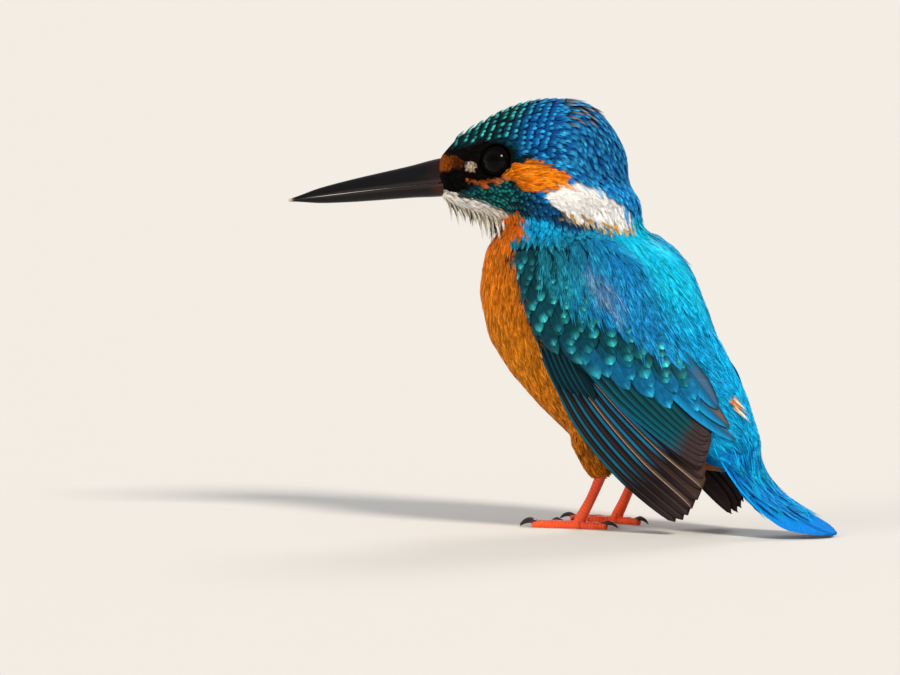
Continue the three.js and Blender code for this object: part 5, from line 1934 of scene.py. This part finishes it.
def bill_half(part):
    """One mandible, part 1 for the upper and -1 for the lower, as a closed dagger."""
    share = np.linspace(-0.035, 1.0, BILL_RINGS)
    station = smooth_rows(BILL_STATIONS, np.clip(share, 0, 1))
    high, half, mouth = (v[:, None] for v in station.T)
    share = share[:, None]
    turn = np.linspace(0, math.pi, BILL_SIDES)
    line = mouth * part + 0.10 * (1 - ramp(share, 0.7, 1.0))
    rise = line + np.maximum(high - line, 0.08) * np.abs(np.sin(turn)) ** 0.94
    flat = np.abs(np.cos(turn)) ** 0.86 * np.sign(np.cos(turn))
    out = half * flat * (1 + 0.02 * (1 - part))
    if part > 0:
        # A nostril slit, and a shallow groove that runs on from it.
        off = rise - line - 1.5
        slit = np.exp(-((share - 0.075) / 0.045) ** 2 - (off / 0.35) ** 2)
        groove = 0.25 * ramp(share, 0.5, 0.1) * np.exp(-(off / 0.4) ** 2)
        out = out - np.sign(out) * (0.55 * slit + groove * 0.4)
    rise = part * rise
    ahead = np.broadcast_to(BILL_LENGTH * share, out.shape)
    points = from_head(BILL_ROOT[0] + ahead * math.cos(BILL_DROOP) + rise * math.sin(BILL_DROOP), out,
                       BILL_ROOT[1] - ahead * math.sin(BILL_DROOP) + rise * math.cos(BILL_DROOP))
    tint = layered("#080708", ("#3a3230", ramp(np.sin(turn), 0.22, 0.05) * 0.5),
                   ("#6a2a18", ramp(share, 0.09, 0.0) * (0.22 if part < 0 else 0.06)),
                   (BILL_TIP_PALE, ramp(share, 0.965, 0.995)))
    grain = np.stack([ahead / 9, out / 0.5, rise / 0.5], -1)
    name = "upper_mandible" if part > 0 else "lower_mandible"
    ends = [points[0].mean(0), points[-1].mean(0)]
    mesh = make_mesh(name, np.concatenate([points.reshape(-1, 3), ends]),
                     tube_faces(BILL_RINGS, BILL_SIDES, part < 0))
    put(mesh, "grain", "FLOAT_VECTOR", np.concatenate([grain.reshape(-1, 3), np.zeros((2, 3))]))
    tint = np.concatenate([tint.reshape(-1, 3), [linear("#1a1414"), linear(BILL_TIP_PALE)]])
    keep_piece(name, mesh, "bill_horn", ("bill_upper" if part > 0 else "bill_lower",), HORN, tint)


# ------------------------------------------------------------------ eyes and lids


def revolved(centre, axis, radius, along, turn):
    """Rings round an axis: radius and along are rows for the rings, by turn or for all of it."""
    side = unit(np.cross(axis, UP))
    top = np.cross(side, axis)
    return (centre + axis * along[..., None] + (np.cos(turn) * radius)[..., None] * top
            + (np.sin(turn) * radius)[..., None] * side)


def eye_material():
    """A live eye: very dark brown iris round a black pupil, under a wet, clear surface."""
    made, tree = material("eye_cornea_wet")
    tint = add(tree, "Attribute", {"attribute_name": "tint"})
    shader = add(tree, "BsdfPrincipled",
                 {"Roughness": 0.03, "IOR": 1.38, "Specular IOR Level": 0.13},
                 {"Base Color": tint.outputs["Color"]})
    add(tree, "OutputMaterial", links={"Surface": shader})
    return made


def lid_material():
    """Bare eyelid skin: black, finely wrinkled, slightly moist."""
    made, tree = material("eyelid_skin")
    place = add(tree, "TexCoord")
    wrinkle = add(tree, "TexNoise", {"Scale": 3500.0, "Detail": 3.0}, {"Vector": place.outputs["Object"]})
    bump = add(tree, "Bump", {"Strength": 0.5, "Distance": 0.0001}, {"Height": wrinkle.outputs["Fac"]})
    shader = add(tree, "BsdfPrincipled",
                 {"Base Color": rgba("#040304"), "Roughness": 0.8, "Specular IOR Level": 0.04},
                 {"Normal": bump})
    add(tree, "OutputMaterial", links={"Surface": shader})
    return made


EYE_WET, LID_SKIN = eye_material(), lid_material()
EYE_SET_IN = 0.5  # how far the coat round it lets the eye sink
EYE_RINGS, EYE_SIDES = 40, 48
LID_PROFILE = [  # degrees outside the lids' opening, and distance from the eye's middle
    (0, 3.52), (0, 3.66), (2, 3.74), (6, 3.79), (12, 3.79), (20, 3.72), (30, 3.56), (42, 3.3), (42, 2.9),
    (20, 3.0),
]


def eye_and_lids(label, sign):
    ahead, out, z = EYE_PLACE
    centre = from_head(ahead, (out - EYE_SET_IN) * sign, z)
    axis = unit(HEAD_LEFT * sign + 0.10 * HEAD_FRONT + 0.06 * UP)
    turn = np.linspace(0, 2 * math.pi, EYE_SIDES, endpoint=False)
    angles = np.radians(np.linspace(1.5, 178.5, EYE_RINGS))[:, None]
    ball = revolved(centre, axis, EYE_RADIUS * np.sin(angles), EYE_RADIUS * np.cos(angles), turn)
    points = np.concatenate([ball.reshape(-1, 3), [centre + axis * EYE_RADIUS, centre - axis * EYE_RADIUS]])
    mesh = make_mesh(f"eyeball_{label}", points, tube_faces(EYE_RINGS, EYE_SIDES, True))
    off = np.degrees(np.arccos(np.clip(unit(points - centre) @ axis, -1, 1)))
    tint = layered("#000000", ("#060302", ramp(off, 22, 25)), ("#010101", ramp(off, 40, 46)))
    keep_piece(f"eyeball_{label}", mesh, "eye", (f"eye_{label}",), EYE_WET, tint)
    # The lids: a thick ring of skin whose opening is a little longer than it is high.
    opening = np.radians(48.5 + 3.0 * np.abs(np.sin(turn)) ** 6 - 2.0 * np.abs(np.cos(turn)))
    wide, radius = np.array(LID_PROFILE).T[..., None]
    angles = opening + np.radians(wide)
    lids = revolved(centre, axis, radius * np.sin(angles), radius * np.cos(angles), turn)
    faces = ring_faces(len(LID_PROFILE), EYE_SIDES, True)
    mesh = make_mesh(f"eyelids_{label}", lids.reshape(-1, 3), faces[:, ::-1])
    keep_piece(f"eyelids_{label}", mesh, "eye", made_of=LID_SKIN)


# ------------------------------------------------------------------ feet and claws


def swept(path, radii, sides, bulge=0.6):
    """A closed tube along a path; bulge says how far its ends stand out, in radii."""
    run = unit(np.gradient(path, axis=0))
    aside = unit(np.cross(run, UP + 0.01))
    up = np.cross(aside, run)
    turn = np.linspace(0, 2 * math.pi, sides, endpoint=False)
    rings = (path[:, None] + np.cos(turn)[None, :, None] * aside[:, None] * radii[:, None, None]
             + np.sin(turn)[None, :, None] * up[:, None] * radii[:, None, None])
    ends = [path[0] - run[0] * radii[0] * bulge, path[-1] + run[-1] * radii[-1] * bulge]
    return np.concatenate([rings.reshape(-1, 3), ends]), tube_faces(len(path), sides, True)


def foot_paths():
    """Middle lines and radii of the left foot: the shank, then each toe."""
    t = np.linspace(0, 1, 40)
    shank = smooth_rows(TARSUS, t)
    paths = [(shank[:, :3], shank[:, 3])]
    for start, bend, end, radius, _ in TOES.values():
        flat, _ = bezier((start, bend, end), t)
        pad = 1 + 0.1 * np.cos(4 * math.pi * t)
        path = np.concatenate([flat, np.full((40, 1), TOE_LEVEL)], 1)
        paths.append((path, radius * (1 - 0.22 * t) * pad))
    return paths


def foot_material():
    """Scaled leg skin: soft, waxy, orange-red, with painted shade in the creases."""
    made, tree = material("scaled_foot_skin")
    tint = add(tree, "Attribute", {"attribute_name": "tint"})
    place = add(tree, "TexCoord")
    cells = add(tree, "TexVoronoi", {"Scale": 2200.0}, {"Vector": place.outputs["Object"]})
    bump = add(tree, "Bump", {"Strength": 0.35, "Distance": 0.0001}, {"Height": cells.outputs["Distance"]})
    shader = add(tree, "BsdfPrincipled",
                 {"Roughness": 0.42, "Subsurface Weight": 0.15, "Subsurface Radius": (0.001, 0.0003, 0.0001),
                  "Subsurface Scale": 1.0},
                 {"Base Color": tint.outputs["Color"], "Normal": bump})
    add(tree, "OutputMaterial", links={"Surface": shader})
    return made


FOOT_SKIN = foot_material()
FOOT_VOXEL = 0.17
SCUTE_LENGTH = 0.85


def foot(label, sign):
    """One foot: shank and toes under one skin with scutes, flat on the floor below."""
    paths = foot_paths()
    shapes = [swept(path, radii * 1.02, 20) for path, radii in paths]
    hub = np.array(HUB[:3]) + np.linspace(-0.6, 0.6, 9)[:, None] * [0, 1, 0]
    shapes.append(swept(hub, np.full(len(hub), HUB[3] * 0.92), 16))
    mesh = remeshed("foot", [(to_frame(points), faces) for points, faces in shapes], FOOT_VOXEL)
    smoothed(mesh, 3)
    place = to_bird(points_of(mesh))
    normals = normals_of(mesh)
    # How far each point is along the shank or the toe it belongs to.
    along, best = np.zeros(len(place)), np.full(len(place), 1e9)
    for number, (path, radii) in enumerate(paths):
        gap = np.linalg.norm(place[:, None] - path[None], axis=2) - radii[None]
        near = gap.argmin(1)
        closer = gap.min(1) < best
        best = np.where(closer, gap.min(1), best)
        tangent = unit(np.gradient(path, axis=0))[near]
        fine = run_length(path)[near] + ((place - path[near]) * tangent).sum(1)
        along = np.where(closer, fine + number * 0.37, along)
    phase = np.abs((along / SCUTE_LENGTH) % 1 - 0.5) * 2
    crease = ramp(phase, 0.72, 1.0) * ramp(normals[:, 2], -0.5, -0.1)
    place = place - normals * (0.075 * crease)[:, None]
    place[:, 2] = np.maximum(place[:, 2], 0.0)
    if sign < 0:
        place = place * [-1, 1, 1]
        mesh.flip_normals()
    move_points(mesh, to_frame(place))
    # Painted shade: darker in the creases between the scutes.
    tint = layered("#ee5320", ("#d6400f", ramp(place[:, 2], 3.5, 9)), ("#8a2408", crease * 0.6),
                   ("#c46a34", ramp(normals[:, 2], -0.4, -0.9) * 0.6))
    keep_piece(f"foot_skin_{label}", mesh, "foot_skin", (f"tarsus_{label}", f"foot_{label}"), FOOT_SKIN, tint)


def claw_material():
    """Claw horn: dark and smooth, a little translucent brown at the root."""
    made, tree = material("claw_horn_smooth")
    tint = add(tree, "Attribute", {"attribute_name": "tint"})
    shader = add(tree, "BsdfPrincipled", {"Roughness": 0.28, "IOR": 1.55},
                 {"Base Color": tint.outputs["Color"]})
    add(tree, "OutputMaterial", links={"Surface": shader})
    return made


CLAW_HORN = claw_material()
CLAW_RINGS, CLAW_SIDES = 24, 12


def claw(label, sign, number):
    _, bend, end, _, length = TOES[number]
    end, bend = np.array(end, float), np.array(bend, float)
    run = unit(end - bend)
    share = np.linspace(0, 1, CLAW_RINGS)
    station = smooth_rows(CLAW, share)
    flat = end - run * CLAW_IN_TOE + run * station[:, :1] * (length + CLAW_IN_TOE)
    path = np.concatenate([flat, TOE_LEVEL + station[:, 1:2]], 1)
    points, tris = swept(path, station[:, 2], CLAW_SIDES, bulge=0.05)
    points[:, 2] = np.maximum(points[:, 2], 0.02)
    name = f"claw_{label}_{number}_horn"
    mesh = make_mesh(name, points * [sign, 1, 1], tris[:, ::sign])
    along = np.concatenate([np.repeat(share, CLAW_SIDES), [0, 1]])
    keep_piece(name, mesh, "claw_horn", (f"claw_{label}_{number}",), CLAW_HORN,
               blend("#3a2018", "#100c0c", ramp(along, 0.2, 0.5)))


flight_feathers()
tail_feathers()
bill_half(1)
bill_half(-1)
for label, sign in SIDES.items():
    eye_and_lids(label, sign)
    foot(label, sign)
    for number in TOES:
        claw(label, sign, number)


# ------------------------------------------------------------------ camera, floor and light

CAMERA_AZIMUTH = math.radians(122)
CAMERA_ELEVATION = math.radians(4)
CAMERA_FAR = 3.0
VIEW_WIDTH_MM = 211.5
VIEW_CENTRE = (-35.25, 44.3)  # right and up of the bird's origin


def camera_axes():
    a, e = CAMERA_AZIMUTH, CAMERA_ELEVATION
    back = Vector((math.sin(a) * math.cos(e), -math.cos(a) * math.cos(e), math.sin(e)))
    right = Vector((math.cos(a), math.sin(a), 0))
    return back, right, back.cross(right)


def make_camera():
    back, right, up = camera_axes()
    data = bpy.data.cameras.new("camera")
    data.sensor_width = 36
    data.lens = 36 * CAMERA_FAR / (VIEW_WIDTH_MM * MM)
    data.clip_start, data.clip_end = 0.01, 100
    camera = bpy.data.objects.new("camera", data)
    bpy.context.scene.collection.objects.link(camera)
    centre = Vector(OFFSET * MM) + right * VIEW_CENTRE[0] * MM + up * VIEW_CENTRE[1] * MM
    camera.location = centre + back * CAMERA_FAR
    camera.rotation_mode = "QUATERNION"
    camera.rotation_quaternion = (-back).to_track_quat("-Z", "Y")
    bpy.context.scene.camera = camera


def make_sun(name, way, strength, spread, colour, glossy=True):
    """A distant soft light that shines along a direction; glossy ones show in reflections."""
    data = bpy.data.lights.new(name, "SUN")
    data.energy = strength
    data.angle = math.radians(spread)
    data.color = linear(colour)
    light = bpy.data.objects.new(name, data)
    bpy.context.scene.collection.objects.link(light)
    light.visible_glossy = glossy
    light.rotation_mode = "QUATERNION"
    light.rotation_quaternion = (-Vector(way)).to_track_quat("Z", "Y")


def make_stage():
    """A plain pale floor, and soft lights high on the right, on the left and behind."""
    reach = 40.0
    corners = np.array([(-reach, -reach, 0), (reach, -reach, 0), (reach, reach, 0), (-reach, reach, 0)])
    mesh = make_mesh("floor", corners, [[0, 1, 2, 3]], metres=True)
    made, tree = material("matt_floor_paint")
    shader = add(tree, "BsdfPrincipled", {"Base Color": rgba("#cfcdc8"), "Roughness": 0.9})
    add(tree, "OutputMaterial", links={"Surface": shader})
    mesh.materials.append(made)
    make_object("floor", mesh)
    back, right, _ = camera_axes()
    high = Vector((0, 0, 1))
    make_sun("key", -(back * 0.75 + right * 0.6 + high * 0.75), 3.4, 14, "#fff4e8")
    make_sun("fill", -(back * 0.6 - right * 1.0 + high * 0.15), 2.1, 40, "#fff6ea", glossy=False)
    make_sun("rim", back * 0.9 - right * 0.3 - high * 0.7, 0.9, 20, "#ffffff")
    world = bpy.data.worlds.new("studio")
    world.use_nodes = True
    world.node_tree.nodes["Background"].inputs[0].default_value = rgba("#dfe3e8")
    world.node_tree.nodes["Background"].inputs[1].default_value = 0.6
    bpy.context.scene.world = world


make_camera()
make_stage()
bpy.context.scene.view_settings.view_transform = "Standard"
for thing, slot, replaced in PIECES:
    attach(thing, "root")
    if replaced:
        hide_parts(*replaced)
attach(skin, "root")
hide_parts(*FLESH)
bpy.data.objects.remove(form)
bpy.data.objects.remove(low_form)
print("triangles in all", sum(len(t.data.polygons) for t, _, _ in PIECES))
